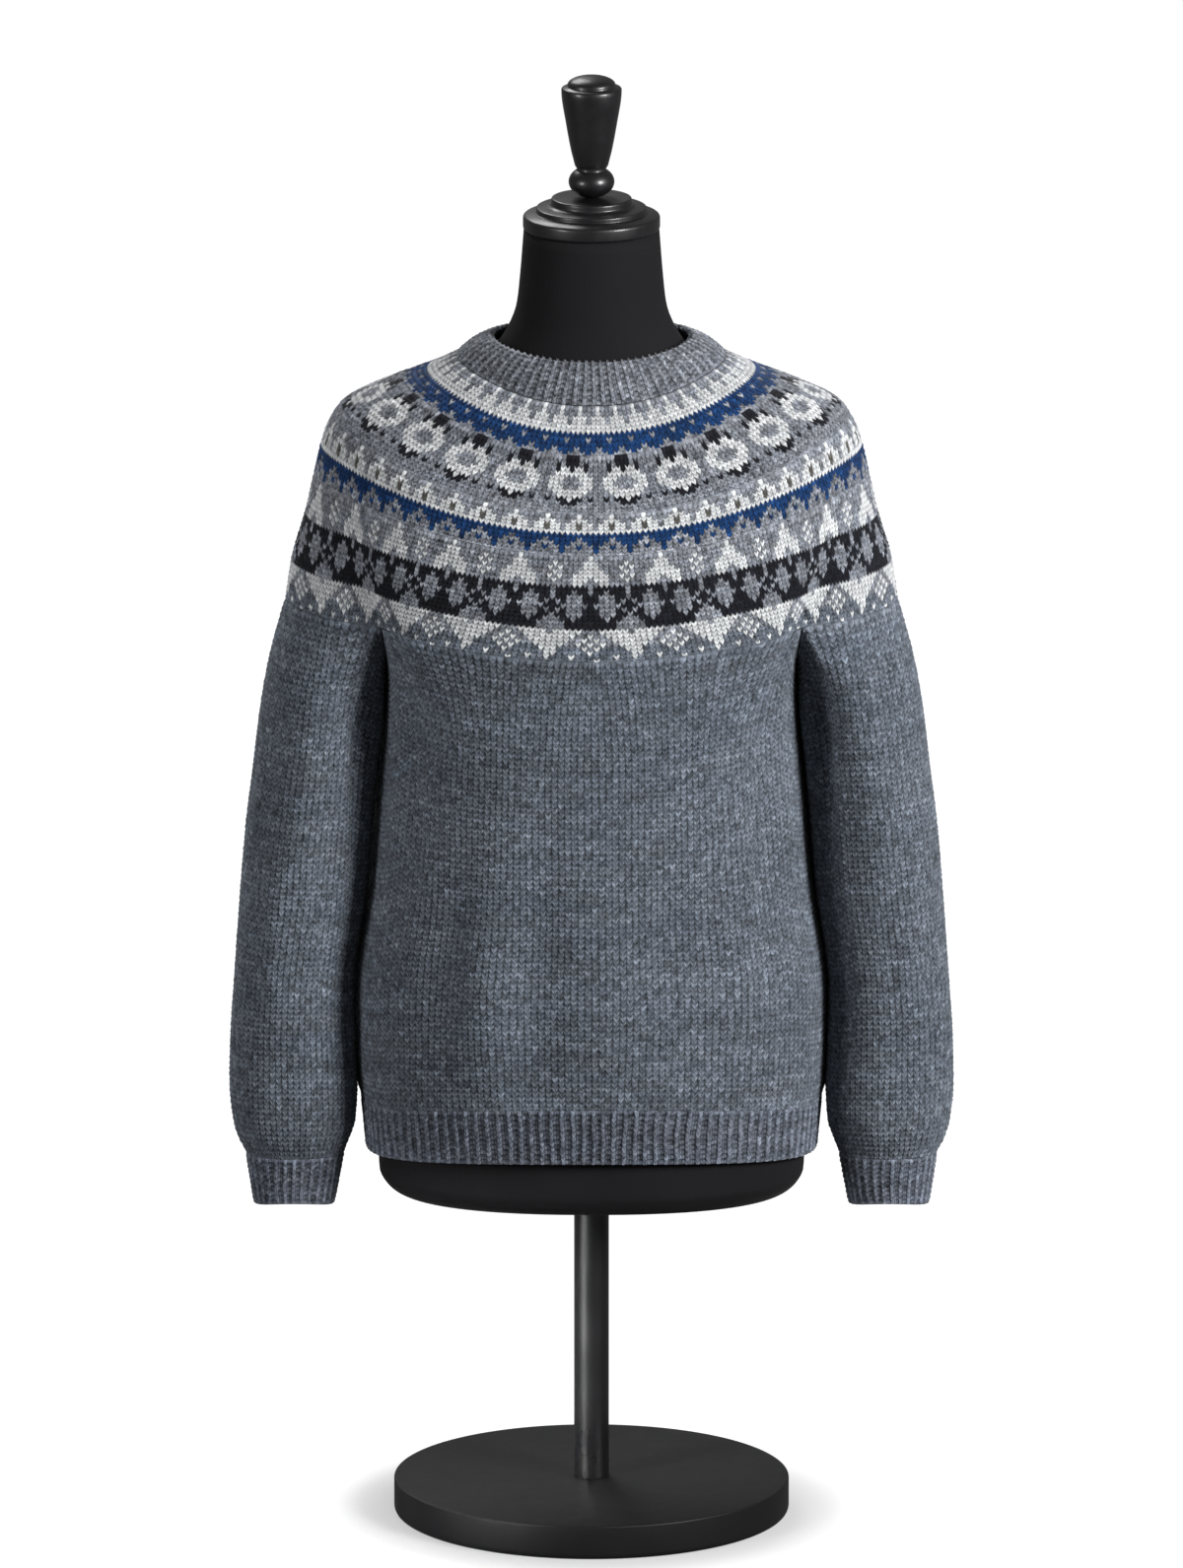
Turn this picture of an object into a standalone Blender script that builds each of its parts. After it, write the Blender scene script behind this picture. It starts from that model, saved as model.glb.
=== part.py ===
"""A knitted yoke sweater on a limbless dress form with a turned cap, a pole and a round base.

Frame: metres, +Z up, +X to the right of the front view, the front faces -Y, and the origin is the
centre of the base's underside. The tables below are in millimetres.

The sweater is knitted in the round, so each piece is a tube with a wall: neckband, yoke, body with
its hem rib, and two sleeves with their cuffs. The yoke's lower edge and the two underarm lines are
shared seams. Each piece stops a hair short of them.
"""

import math
from collections import namedtuple

import bpy
import numpy as np

MM = 0.001

# ---- driving dimensions, in millimetres ----
WALL = 3.0
RIB_WALL = 3.6
BAND_WALL = 6.0
SEAM_GAP = 0.3

BASE_RADIUS = 167.0
BASE_HEIGHT = 29.5
BASE_TOP_ROUND = 1.5
BASE_FOOT_ROUND = 5.0
POLE_RADIUS = 14.75
FORM_UNDERSIDE = 281.0
FORM_CORNER = 26.0
FORM_NECK_TOP = 1112.0

FRONT_COLUMNS = 18
SHOULDER_COLUMNS = 12
UNDERARM_COLUMNS = 10
SPLIT_X = 190.0
BODY_SIDE_HALF_TURN = 33.0
SLEEVE_OUTSIDE_HALF_TURN = 118.0
BLEND_POWER = 1.7
FORM_COLUMNS = 36

# A ring round the figure: half width, depths to front and back, and the height at each. A plan
# exponent of 2 is an ellipse, and more is squarer.
Ring = namedtuple("Ring", "side_x side_z front_y front_z back_y back_z square")

# The yoke from the neckband to the underarm. depth is the share of the way down.
YokeRow = namedtuple("YokeRow", "depth side_x side_z front_y front_z back_y back_z square")
YOKE = (
    YokeRow(0.00, 113.0, 1004.0, -80.0, 978.5, 78.0, 998.0, 2.20),
    YokeRow(0.10, 136.0, 993.0, -98.0, 961.0, 94.0, 985.0, 2.20),
    YokeRow(0.28, 185.0, 974.5, -113.5, 920.0, 108.0, 958.0, 2.20),
    YokeRow(0.37, 209.0, 962.0, -119.5, 903.0, 112.5, 942.0, 2.20),
    YokeRow(0.445, 221.0, 945.0, -125.0, 890.5, 115.5, 929.0, 2.20),
    YokeRow(0.50, 226.5, 929.0, -128.0, 881.0, 117.0, 919.0, 2.15),
    YokeRow(0.71, 240.0, 870.0, -133.0, 837.0, 119.0, 874.0, 2.05),
    YokeRow(0.875, 252.0, 828.0, -134.5, 799.0, 119.0, 830.0, 1.90),
    YokeRow(1.00, 257.0, 794.0, -135.0, 771.0, 119.0, 795.0, 1.85),
)
YOKE_DEPTHS = (0.0, 0.10, 0.20, 0.28, 0.37, 0.445, 0.58, 0.71, 0.86, 1.0)
YOKE_DROP = 2.6

# The neckband's top edge; its lower edge is the yoke's first row.
BAND_TOP = Ring(84.0, 1023.0, -72.0, 1015.0, 62.0, 1021.0, 2.15)
BAND_ROUND = 2.4
BAND_FOOT_LIFT = 0.2

# The body tube, side view and front view together, at level heights.
BodyRow = namedtuple("BodyRow", "height half_x front_y back_y square")
BODY = (
    BodyRow(800.0, 172.0, -131.0, 116.0, 2.50),
    BodyRow(745.0, 169.5, -131.5, 118.0, 2.50),
    BodyRow(700.0, 171.0, -133.0, 120.0, 2.45),
    BodyRow(640.0, 176.0, -134.5, 122.0, 2.40),
    BodyRow(556.0, 183.0, -135.0, 124.0, 2.35),
    BodyRow(457.0, 196.0, -134.0, 125.0, 2.30),
    BodyRow(400.0, 195.5, -132.0, 125.0, 2.25),
    BodyRow(357.0, 192.5, -129.0, 123.0, 2.20),
    BodyRow(319.0, 189.5, -124.5, 119.0, 2.20),
)
BODY_ROWS = (0.0, 0.05, 0.12, 0.22, 0.36, 0.50, 0.64, 0.78, 0.90, 1.0)
BODY_BLEND = 95.0
RIB_TOP = Ring(192.5, 362.0, -129.0, 382.0, 123.0, 364.0, 2.2)
HEM = Ring(189.5, 319.0, -124.5, 333.0, 119.0, 320.0, 2.2)

HEM_DROP = 2.0

# Broad folds of the body: where round it in degrees from the right side, how wide in degrees,
# the heights it runs between and how deep it goes.
Fold = namedtuple("Fold", "angle spread low high depth")
BODY_FOLDS = (
    Fold(-128.0, 9.0, 390.0, 640.0, -2.6),
    Fold(-112.0, 8.0, 370.0, 560.0, 2.2),
    Fold(-72.0, 9.0, 380.0, 600.0, -2.4),
    Fold(-52.0, 8.0, 400.0, 690.0, 2.6),
    Fold(-38.0, 7.0, 520.0, 770.0, -3.0),
    Fold(-143.0, 7.0, 500.0, 770.0, -3.0),
    Fold(60.0, 9.0, 380.0, 640.0, -2.8),
    Fold(88.0, 10.0, 400.0, 590.0, 2.4),
    Fold(124.0, 9.0, 390.0, 680.0, -2.8),
)

# The body swells towards each sleeve just behind the sleeve's middle, so that no light passes
# between them: how far in mm, at what angle and over what angle, and where it fades in height.
SIDE_BULGE = 8.5
SIDE_BULGE_TURN = 10.5
SIDE_BULGE_SPREAD = 9.0
SIDE_BULGE_LOW = (352.0, 378.0)
SIDE_BULGE_HIGH = (730.0, 756.0)

# The lowest point of the underarm seam, and how much wider it is where it meets the yoke.
UNDERARM_X = 172.0
UNDERARM_Z = 752.0
UNDERARM_SHARPNESS = 2.5
UNDERARM_LIFT = 4.0
UNDERARM_TURN = 0.7

# A sleeve, outer and inner edge seen from the front, at level heights.
SleeveRow = namedtuple("SleeveRow", "height inner_x outer_x half_depth middle_y")
SLEEVE = (
    SleeveRow(800.0, 172.0, 255.0, 70.0, -4.0),
    SleeveRow(782.0, 173.0, 260.5, 68.0, -4.0),
    SleeveRow(740.0, 175.5, 271.5, 65.0, -5.0),
    SleeveRow(700.0, 177.0, 278.5, 62.0, -6.0),
    SleeveRow(650.0, 180.5, 284.5, 59.5, -7.0),
    SleeveRow(602.0, 184.0, 290.5, 57.5, -8.0),
    SleeveRow(543.0, 189.0, 295.5, 54.5, -8.0),
    SleeveRow(457.0, 199.8, 301.5, 50.5, -8.0),
    SleeveRow(419.0, 199.3, 304.0, 48.5, -8.0),
    SleeveRow(376.0, 197.8, 305.0, 46.5, -8.0),
    SleeveRow(344.0, 199.5, 302.0, 42.0, -8.0),
    SleeveRow(328.0, 204.5, 297.5, 37.0, -8.0),
    SleeveRow(316.0, 209.0, 291.5, 32.5, -8.0),
    SleeveRow(271.0, 217.5, 284.5, 29.0, -8.0),
)
SLEEVE_ROWS = (0.0, 0.06, 0.14, 0.25, 0.38, 0.52, 0.66, 0.80, 0.90, 0.96, 1.0)
SLEEVE_BLEND = 90.0
SLEEVE_SQUARE = 2.15
CUFF_TOP = 316.0
CUFF_BOTTOM = 271.0
CUFF_FRONT_RISE = 5.0
SLEEVE_FOLDS = (
    Fold(-146.0, 21.0, 330.0, 800.0, -3.5),
    Fold(-78.0, 17.0, 520.0, 800.0, 3.6),
    Fold(-48.0, 13.0, 560.0, 760.0, -3.4),
    Fold(-110.0, 14.0, 480.0, 700.0, -3.0),
    Fold(-30.0, 14.0, 360.0, 520.0, 2.4),
    Fold(70.0, 15.0, 560.0, 760.0, -3.0),
    Fold(110.0, 15.0, 470.0, 690.0, 2.6),
)

# The dress form above its rounded underside, from the hip to the neck.
FORM = (
    Ring(180.0, 319.0, -115.0, 319.0, 106.0, 319.0, 2.3),
    Ring(181.5, 360.0, -118.0, 360.0, 109.0, 360.0, 2.3),
    Ring(180.0, 410.0, -119.0, 410.0, 110.0, 410.0, 2.3),
    Ring(170.0, 475.0, -114.0, 475.0, 105.0, 475.0, 2.3),
    Ring(160.0, 545.0, -109.0, 545.0, 99.0, 545.0, 2.3),
    Ring(158.0, 605.0, -113.0, 605.0, 99.0, 605.0, 2.3),
    Ring(161.0, 670.0, -121.0, 670.0, 104.0, 670.0, 2.35),
    Ring(163.0, 730.0, -126.0, 725.0, 110.0, 730.0, 2.4),
    Ring(168.0, 790.0, -127.0, 775.0, 113.0, 790.0, 2.4),
    Ring(183.0, 850.0, -127.0, 820.0, 113.0, 845.0, 2.3),
    Ring(196.0, 900.0, -123.0, 855.0, 111.5, 885.0, 2.2),
    Ring(199.5, 930.0, -117.0, 880.0, 109.5, 910.0, 2.2),
    Ring(195.0, 950.0, -112.0, 897.0, 107.0, 929.0, 2.2),
    Ring(180.0, 968.0, -107.0, 917.0, 101.0, 947.0, 2.2),
    Ring(134.0, 986.5, -92.0, 957.0, 84.0, 977.0, 2.2),
    Ring(104.0, 997.5, -71.0, 975.0, 63.0, 991.0, 2.2),
    Ring(82.5, 1011.0, -63.5, 996.0, 52.0, 1010.0, 2.1),
    Ring(71.5, 1026.0, -60.5, 1018.0, 50.5, 1028.0, 2.05),
    Ring(63.0, 1048.0, -59.5, 1046.0, 54.0, 1050.0, 2.0),
    Ring(60.0, 1074.0, -59.0, 1074.0, 58.0, 1074.0, 2.0),
    Ring(57.0, FORM_NECK_TOP, -57.0, FORM_NECK_TOP, 57.0, FORM_NECK_TOP, 2.0),
)
FORM_DROP = 2.4

# Turned profiles: (radius, height) points down the outer side.
CAP_PROFILE = (
    (0.0, 1139.6), (31.6, 1139.6), (33.8, 1138.0), (33.8, 1134.6), (36.5, 1132.4),
    (44.0, 1131.2), (46.5, 1129.6), (46.5, 1127.4), (52.0, 1126.2), (56.2, 1124.8),
    (57.6, 1122.4), (57.6, 1115.6), (56.4, 1113.2), (54.6, 1112.3), (0.0, 1112.3),
)
KNOB_TOP = 1244.0
KNOB_DOME_RADIUS = 20.2
KNOB_DOME_FOOT = 1236.5
KNOB_CONE = ((25.4, 1232.5), (25.2, 1229.0), (21.6, 1204.0), (17.2, 1180.0), (13.9, 1167.0))
BALL_CENTRE = 1153.2
BALL_RADIUS = 19.3
BALL_HALF_HEIGHT = 13.6
KNOB_FOOT = 1139.9

COLOURS = {
    "knit_grey": (0.115, 0.135, 0.165, 1.0),
    "knit_yoke": (0.260, 0.290, 0.330, 1.0),
    "form_cloth": (0.012, 0.012, 0.013, 1.0),
    "black_wood": (0.010, 0.010, 0.011, 1.0),
    "black_metal": (0.024, 0.024, 0.024, 1.0),
}


# ---- curves and rings ----
def through(keys, values, at):
    """Value of a smooth curve through the table (keys, values), with no overshoot between rows."""
    keys = np.asarray(keys, float)
    values = np.asarray(values, float)
    steps = np.diff(keys)
    slopes = np.diff(values) / steps
    tangents = np.zeros(len(keys))
    same_way = slopes[:-1] * slopes[1:] > 0
    harmonic = np.zeros(len(slopes) - 1)
    pair = slopes[:-1] + slopes[1:]
    harmonic[same_way] = 2 * slopes[:-1][same_way] * slopes[1:][same_way] / pair[same_way]
    tangents[1:-1] = harmonic
    tangents[0] = slopes[0]
    tangents[-1] = slopes[-1]
    at = np.clip(np.asarray(at, float), keys[0], keys[-1])
    row = np.clip(np.searchsorted(keys, at, side="right") - 1, 0, len(keys) - 2)
    t = (at - keys[row]) / steps[row]
    rise = (3 - 2 * t) * t * t
    lift = t * (1 - t) ** 2 * tangents[row] * steps[row]
    fall = t * t * (1 - t) * tangents[row + 1] * steps[row]
    return values[row] * (1 - rise) + values[row + 1] * rise + lift - fall


def signed_power(value, exponent):
    """The power of a number's size, with the number's own sign."""
    return np.sign(value) * np.abs(value) ** exponent


def plan_point(angles, half_x, front_y, back_y, square):
    """Points (x, y) of a squared ellipse whose front and back depths differ."""
    x = half_x * signed_power(np.cos(angles), 2.0 / square)
    share = signed_power(np.sin(angles), 2.0 / square)
    y = np.where(share < 0, -share * front_y, share * back_y)
    return x, y, np.abs(share)


def ring_points(ring, angles, drop):
    """A ring that is level at its sides and runs down or up to its front and back."""
    x, y, share = plan_point(angles, ring.side_x, ring.front_y, ring.back_y, ring.square)
    end = np.where(np.sin(angles) < 0, ring.front_z, ring.back_z)
    z = ring.side_z + (end - ring.side_z) * share ** drop
    return np.stack([x, y, z], axis=-1)


def yoke_ring(depth):
    """The yoke's ring at a share of its depth."""
    depths = [row.depth for row in YOKE]
    fields = [float(through(depths, [row[i] for row in YOKE], depth)) for i in range(1, 8)]
    return Ring(*fields)


def split_angle(side_sign):
    """Ring angle, from the +X side, where the yoke's lower edge passes from sleeve to body."""
    lower = yoke_ring(1.0)
    share = (SPLIT_X / lower.side_x) ** (lower.square / 2.0)
    return side_sign * math.acos(share)


def yoke_angles():
    """Angles round the yoke from the front split on the left, counterclockwise from above."""
    edge = split_angle(1)
    front = np.linspace(-math.pi + edge, -edge, FRONT_COLUMNS + 1)[:-1]
    right = np.linspace(-edge, edge, SHOULDER_COLUMNS + 1)[:-1]
    back = np.linspace(edge, math.pi - edge, FRONT_COLUMNS + 1)[:-1]
    left = np.linspace(math.pi - edge, math.pi + edge, SHOULDER_COLUMNS + 1)[:-1]
    return np.concatenate([front, right, back, left])


def surface_normals(grid):
    """Outward unit normals of a grid (rows down, columns counterclockwise, closed round)."""
    round_way = np.roll(grid, -1, axis=1) - np.roll(grid, 1, axis=1)
    down_way = np.gradient(grid, axis=0)
    normals = np.cross(down_way, round_way)
    return normals / np.linalg.norm(normals, axis=2, keepdims=True)


def fold_offset(folds, angle_degrees, height):
    """Sum of soft ridges and troughs at each point, by angle and by height."""
    total = np.zeros(np.shape(height))
    for fold in folds:
        away = (angle_degrees - fold.angle + 180.0) % 360.0 - 180.0
        middle = (fold.low + fold.high) / 2
        reach = (fold.high - fold.low) / 2
        along = np.clip(1 - ((height - middle) / reach) ** 2, 0, 1)
        total = total + fold.depth * np.exp(-(away / fold.spread) ** 2) * along ** 2
    return total


# ---- meshes ----
def material(name, colour, roughness, metallic=0.0):
    """One plain Principled material."""
    made = bpy.data.materials.new(name)
    made.use_nodes = True
    shader = made.node_tree.nodes["Principled BSDF"]
    shader.inputs["Base Color"].default_value = colour
    shader.inputs["Roughness"].default_value = roughness
    shader.inputs["Metallic"].default_value = metallic
    return made


def link(name, mesh, finish, collection):
    """Puts a mesh in the object's collection under a node's name."""
    made = bpy.data.objects.new(name, mesh)
    made.data.materials.append(finish)
    collection.objects.link(made)
    return made


def diagonal_rule(row):
    """A number for each column; a quad's diagonal starts at its lower one, so that walls match."""
    return row[:, 1] + 0.01 * np.abs(row[:, 0])


def strip(upper, lower, columns, rule):
    """Triangles between two closed rows of vertex numbers. rule picks each quad's diagonal."""
    triangles = []
    for i in range(columns):
        k = (i + 1) % columns
        a, b, c, d = upper[i], lower[i], lower[k], upper[k]
        if rule[i] <= rule[k]:
            triangles += [(a, b, c), (a, c, d)]
        else:
            triangles += [(a, b, d), (b, c, d)]
    return triangles


def wall(name, outer, inner, finish, collection):
    """A tube with a wall: outer and inner grids of the same shape, joined at both rims."""
    rows, columns = outer.shape[:2]
    points = np.concatenate([outer.reshape(-1, 3), inner.reshape(-1, 3)]) * MM
    first_inner = rows * columns
    numbers = np.arange(rows * columns).reshape(rows, columns)
    faces = []
    for r in range(rows - 1):
        rule = diagonal_rule(outer[r])
        faces += strip(numbers[r], numbers[r + 1], columns, rule)
        skin = strip(numbers[r] + first_inner, numbers[r + 1] + first_inner, columns, rule)
        faces += [triangle[::-1] for triangle in skin]
    faces += strip(numbers[0] + first_inner, numbers[0], columns, diagonal_rule(outer[0]))
    last = numbers[-1]
    faces += strip(last, last + first_inner, columns, diagonal_rule(outer[-1]))
    mesh = bpy.data.meshes.new(name)
    mesh.from_pydata(points.tolist(), [], [tuple(int(v) for v in f) for f in faces])
    mesh.shade_smooth()
    mesh.validate()
    return link(name, mesh, finish, collection)


def shift(points, x=0.0, z=0.0):
    """Points moved along X and Z."""
    return points + np.array([x, 0.0, z])


# ---- the sweater ----
def yoke_grids():
    """Outer and inner grids of the yoke wall."""
    angles = yoke_angles()
    fine = np.array([ring_points(yoke_ring(d), angles, YOKE_DROP) for d in YOKE_DEPTHS])
    return fine, fine - WALL * surface_normals(fine)


def build_neckband(finish, collection, yoke_outer):
    """The doubled neckband, thicker than the rest, with a rounded top edge."""
    angles = yoke_angles()
    foot = shift(yoke_outer[0], z=SEAM_GAP)
    top = ring_points(BAND_TOP, angles, YOKE_DROP)
    side = top - foot
    side /= np.linalg.norm(side, axis=1, keepdims=True)
    round_way = np.roll(foot, -1, axis=0) - np.roll(foot, 1, axis=0)
    inward = np.cross(round_way, side)
    inward /= -np.linalg.norm(inward, axis=1, keepdims=True)
    shoulder = top - side * BAND_ROUND
    rim = top + inward * BAND_ROUND
    outer = np.array([rim, shoulder, (shoulder + foot) / 2, foot])
    inner_rim = top + inward * (BAND_WALL - BAND_ROUND)
    inner_shoulder = shoulder + inward * BAND_WALL
    inner_foot = foot + inward * BAND_WALL + side * BAND_FOOT_LIFT
    inner = np.array([inner_rim, inner_shoulder, (inner_shoulder + inner_foot) / 2, inner_foot])
    return wall("neckband", outer, inner, finish, collection)


def underarm(yoke_outer, yoke_inner):
    """Outer and inner line of the right underarm seam, from the front split to the back one."""
    front = yoke_outer[-1, FRONT_COLUMNS]
    back = yoke_outer[-1, FRONT_COLUMNS + SHOULDER_COLUMNS]
    front_in = yoke_inner[-1, FRONT_COLUMNS]
    back_in = yoke_inner[-1, FRONT_COLUMNS + SHOULDER_COLUMNS]
    s = np.linspace(0, 1, UNDERARM_COLUMNS + 1)
    edge = np.abs(2 * s - 1)
    ends = front[None] * (1 - s)[:, None] + back[None] * s[:, None]
    sag = (1 - edge ** UNDERARM_SHARPNESS)[:, None]
    low = np.stack([np.full_like(s, UNDERARM_X), ends[:, 1], np.full_like(s, UNDERARM_Z)], 1)
    outer = ends * (1 - sag) + low * sag
    ends_in = (front_in - front)[None] * (1 - s)[:, None] + (back_in - back)[None] * s[:, None]
    lift = np.array([[0.0, 0.0, UNDERARM_LIFT]])
    blend = np.sin(np.pi * s)[:, None] ** UNDERARM_TURN
    inner = outer + ends_in * (1 - blend) + lift * blend
    return outer, inner


def body_section(height, angles):
    """Plan points of the body tube at each column's own height and angle."""
    heights = [row.height for row in BODY][::-1]
    half_x = through(heights, [row.half_x for row in BODY][::-1], height)
    front_y = through(heights, [row.front_y for row in BODY][::-1], height)
    back_y = through(heights, [row.back_y for row in BODY][::-1], height)
    square = through(heights, [row.square for row in BODY][::-1], height)
    x, y, _ = plan_point(angles, half_x, front_y, back_y, square)
    return np.stack([x, y], axis=-1)


def body_angles():
    """Column angles of the body: its front, right underarm, back and left underarm."""
    edge = math.radians(BODY_SIDE_HALF_TURN)
    front = np.linspace(-math.pi + edge, -edge, FRONT_COLUMNS + 1)[:-1]
    right = np.linspace(-edge, edge, UNDERARM_COLUMNS + 1)[:-1]
    back = np.linspace(edge, math.pi - edge, FRONT_COLUMNS + 1)[:-1]
    left = np.linspace(math.pi - edge, math.pi + edge, UNDERARM_COLUMNS + 1)[:-1]
    return np.concatenate([front, right, back, left])


def body_top(yoke_edge, underarm_line):
    """The body's upper edge: front arc, right underarm, back arc, left underarm."""
    right_end = FRONT_COLUMNS + SHOULDER_COLUMNS
    front = shift(yoke_edge[:FRONT_COLUMNS + 1], z=-SEAM_GAP)
    back = shift(yoke_edge[right_end:right_end + FRONT_COLUMNS + 1], z=-SEAM_GAP)
    right = shift(underarm_line, x=-SEAM_GAP / 2, z=-SEAM_GAP)
    left = right[::-1] * np.array([-1.0, 1.0, 1.0])
    front[-1] = right[0]
    front[0] = left[-1]
    back[0] = right[-1]
    back[-1] = left[0]
    return np.concatenate([front[:-1], right[:-1], back[:-1], left[:-1]])


def ring_under(ring, angles):
    """A ring of the hem at the body's own column angles."""
    return ring_points(ring, angles, HEM_DROP)


def eased(value, start, stop):
    """A smooth step from 0 at start to 1 at stop."""
    share = np.clip((value - start) / (stop - start), 0, 1)
    return share * share * (3 - 2 * share)


def side_bulge(angles, height):
    """How far the body swells towards the sleeves, in millimetres."""
    turn = np.degrees(np.arcsin(np.sin(angles))) - SIDE_BULGE_TURN
    window = eased(height, *SIDE_BULGE_LOW) * (1 - eased(height, *SIDE_BULGE_HIGH))
    return SIDE_BULGE * window * np.exp(-((turn / SIDE_BULGE_SPREAD) ** 2))


def body_grids(yoke_outer, yoke_inner):
    """Outer and inner grids of the body, from the yoke's edge to the hem rib."""
    angles = body_angles()
    line, line_in = underarm(yoke_outer, yoke_inner)
    top = body_top(yoke_outer[-1], line)
    top_in = body_top(yoke_inner[-1], line_in)
    bottom_z = ring_under(RIB_TOP, angles)[:, 2]
    base = body_section(top[:, 2], angles)
    rows = []
    for share in BODY_ROWS:
        z = top[:, 2] + (bottom_z - top[:, 2]) * share
        plan = body_section(z, angles)
        fade = np.clip(1 - (top[:, 2] - z) / BODY_BLEND, 0, 1)[:, None] ** BLEND_POWER
        plan = plan + (top[:, :2] - base) * fade
        bulge = (fold_offset(BODY_FOLDS, np.degrees(angles), z) + side_bulge(angles, z))[:, None]
        away = plan / np.linalg.norm(plan, axis=1, keepdims=True)
        rows.append(np.column_stack([plan + away * bulge * (1 - fade), z]))
    outer = np.array(rows)
    inner = outer - WALL * surface_normals(outer)
    inner[0] = top_in
    inner[-1, :, 2] = outer[-1, :, 2]
    return outer, inner


def build_hem(finish, collection, body_outer, body_inner):
    """The hem rib, a little thicker than the body, open below."""
    angles = body_angles()
    top = shift(body_outer[-1], z=-SEAM_GAP)
    bottom = ring_under(HEM, angles)
    middle = (top + bottom) / 2
    outer = np.array([top, middle, bottom])
    inner = outer - RIB_WALL * surface_normals(outer)
    inner[0] = shift(body_inner[-1], z=-SEAM_GAP)
    inner[-1, :, 2] = bottom[:, 2]
    return wall("hem_rib", outer, inner, finish, collection)


def sleeve_section(height, angles):
    """Plan points of the right sleeve at each column's own height and angle."""
    heights = [row.height for row in SLEEVE][::-1]
    inner_x = through(heights, [row.inner_x for row in SLEEVE][::-1], height)
    outer_x = through(heights, [row.outer_x for row in SLEEVE][::-1], height)
    depth = through(heights, [row.half_depth for row in SLEEVE][::-1], height)
    middle_y = through(heights, [row.middle_y for row in SLEEVE][::-1], height)
    x, y, _ = plan_point(angles, (outer_x - inner_x) / 2, -depth, depth, SLEEVE_SQUARE)
    return np.stack([x + (outer_x + inner_x) / 2, y + middle_y], axis=-1)


def sleeve_angles():
    """Column angles of the right sleeve: its outer side, then its underarm side."""
    edge = math.radians(SLEEVE_OUTSIDE_HALF_TURN)
    outside = np.linspace(-edge, edge, SHOULDER_COLUMNS + 1)[:-1]
    underside = np.linspace(edge, 2 * math.pi - edge, UNDERARM_COLUMNS + 1)[:-1]
    return np.concatenate([outside, underside])


def sleeve_top(yoke_edge, underarm_line):
    """The right sleeve's upper edge: the yoke's outer arc, then back along the underarm."""
    right_end = FRONT_COLUMNS + SHOULDER_COLUMNS
    arc = shift(yoke_edge[FRONT_COLUMNS:right_end + 1], z=-SEAM_GAP)
    line = shift(underarm_line, x=SEAM_GAP / 2, z=-SEAM_GAP)
    arc[0] = line[0]
    arc[-1] = line[-1]
    return np.concatenate([arc[:-1], line[:0:-1]])


def sleeve_grids(yoke_outer, yoke_inner):
    """Outer and inner grids of the right sleeve, from the yoke to the cuff."""
    angles = sleeve_angles()
    line, line_in = underarm(yoke_outer, yoke_inner)
    top = sleeve_top(yoke_outer[-1], line)
    top_in = sleeve_top(yoke_inner[-1], line_in)
    base = sleeve_section(top[:, 2], angles)
    rows = []
    for share in SLEEVE_ROWS:
        z = top[:, 2] + (CUFF_TOP - top[:, 2]) * share
        plan = sleeve_section(z, angles)
        fade = np.clip(1 - (top[:, 2] - z) / SLEEVE_BLEND, 0, 1)[:, None] ** BLEND_POWER
        away = plan - sleeve_section(z, angles).mean(axis=0)
        away /= np.linalg.norm(away, axis=1, keepdims=True)
        bulge = fold_offset(SLEEVE_FOLDS, np.degrees(angles), z)[:, None]
        plan = plan + (top[:, :2] - base) * fade + away * bulge * (1 - fade)
        rows.append(np.column_stack([plan, z]))
    outer = np.array(rows)
    inner = outer - WALL * surface_normals(outer)
    inner[0] = top_in
    inner[-1, :, 2] = CUFF_TOP
    return outer, inner


def cuff_grids(sleeve_outer, sleeve_inner):
    """Outer and inner grids of the right cuff, open below."""
    angles = sleeve_angles()
    bottom_z = CUFF_BOTTOM + CUFF_FRONT_RISE * np.clip(-np.sin(angles), 0, 1) ** 2
    bottom = np.column_stack([sleeve_section(bottom_z, angles), bottom_z])
    top = shift(sleeve_outer[-1], z=-SEAM_GAP)
    outer = np.array([top, (top + bottom) / 2, bottom])
    inner = outer - RIB_WALL * surface_normals(outer)
    inner[0] = shift(sleeve_inner[-1], z=-SEAM_GAP)
    inner[-1, :, 2] = bottom_z
    return outer, inner


def mirrored(grid):
    """A grid on the other side of X = 0, still counterclockwise from above."""
    return (grid * np.array([-1.0, 1.0, 1.0]))[:, ::-1]


def build_sleeves(finish, collection, yoke_outer, yoke_inner):
    """Both sleeves and both cuffs. The wearer's left is at +X."""
    outer, inner = sleeve_grids(yoke_outer, yoke_inner)
    cuff_outer, cuff_inner = cuff_grids(outer, inner)
    wall("sleeve_left", outer, inner, finish, collection)
    wall("cuff_left", cuff_outer, cuff_inner, finish, collection)
    wall("sleeve_right", mirrored(outer), mirrored(inner), finish, collection)
    wall("cuff_right", mirrored(cuff_outer), mirrored(cuff_inner), finish, collection)


# ---- the form and its stand ----
def form_rings():
    """Rings of the form from its flat underside, round the lower corner, to the neck."""
    hip = FORM[0]
    rings = []
    for turn in (0.0, 22.5, 45.0, 67.5):
        inset = FORM_CORNER * (1 - math.sin(math.radians(turn)))
        z = FORM_UNDERSIDE + FORM_CORNER * (1 - math.cos(math.radians(turn)))
        rings.append(Ring(hip.side_x - inset, z, hip.front_y + inset, z,
                          hip.back_y - inset, z, hip.square))
    return rings + list(FORM)


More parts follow.
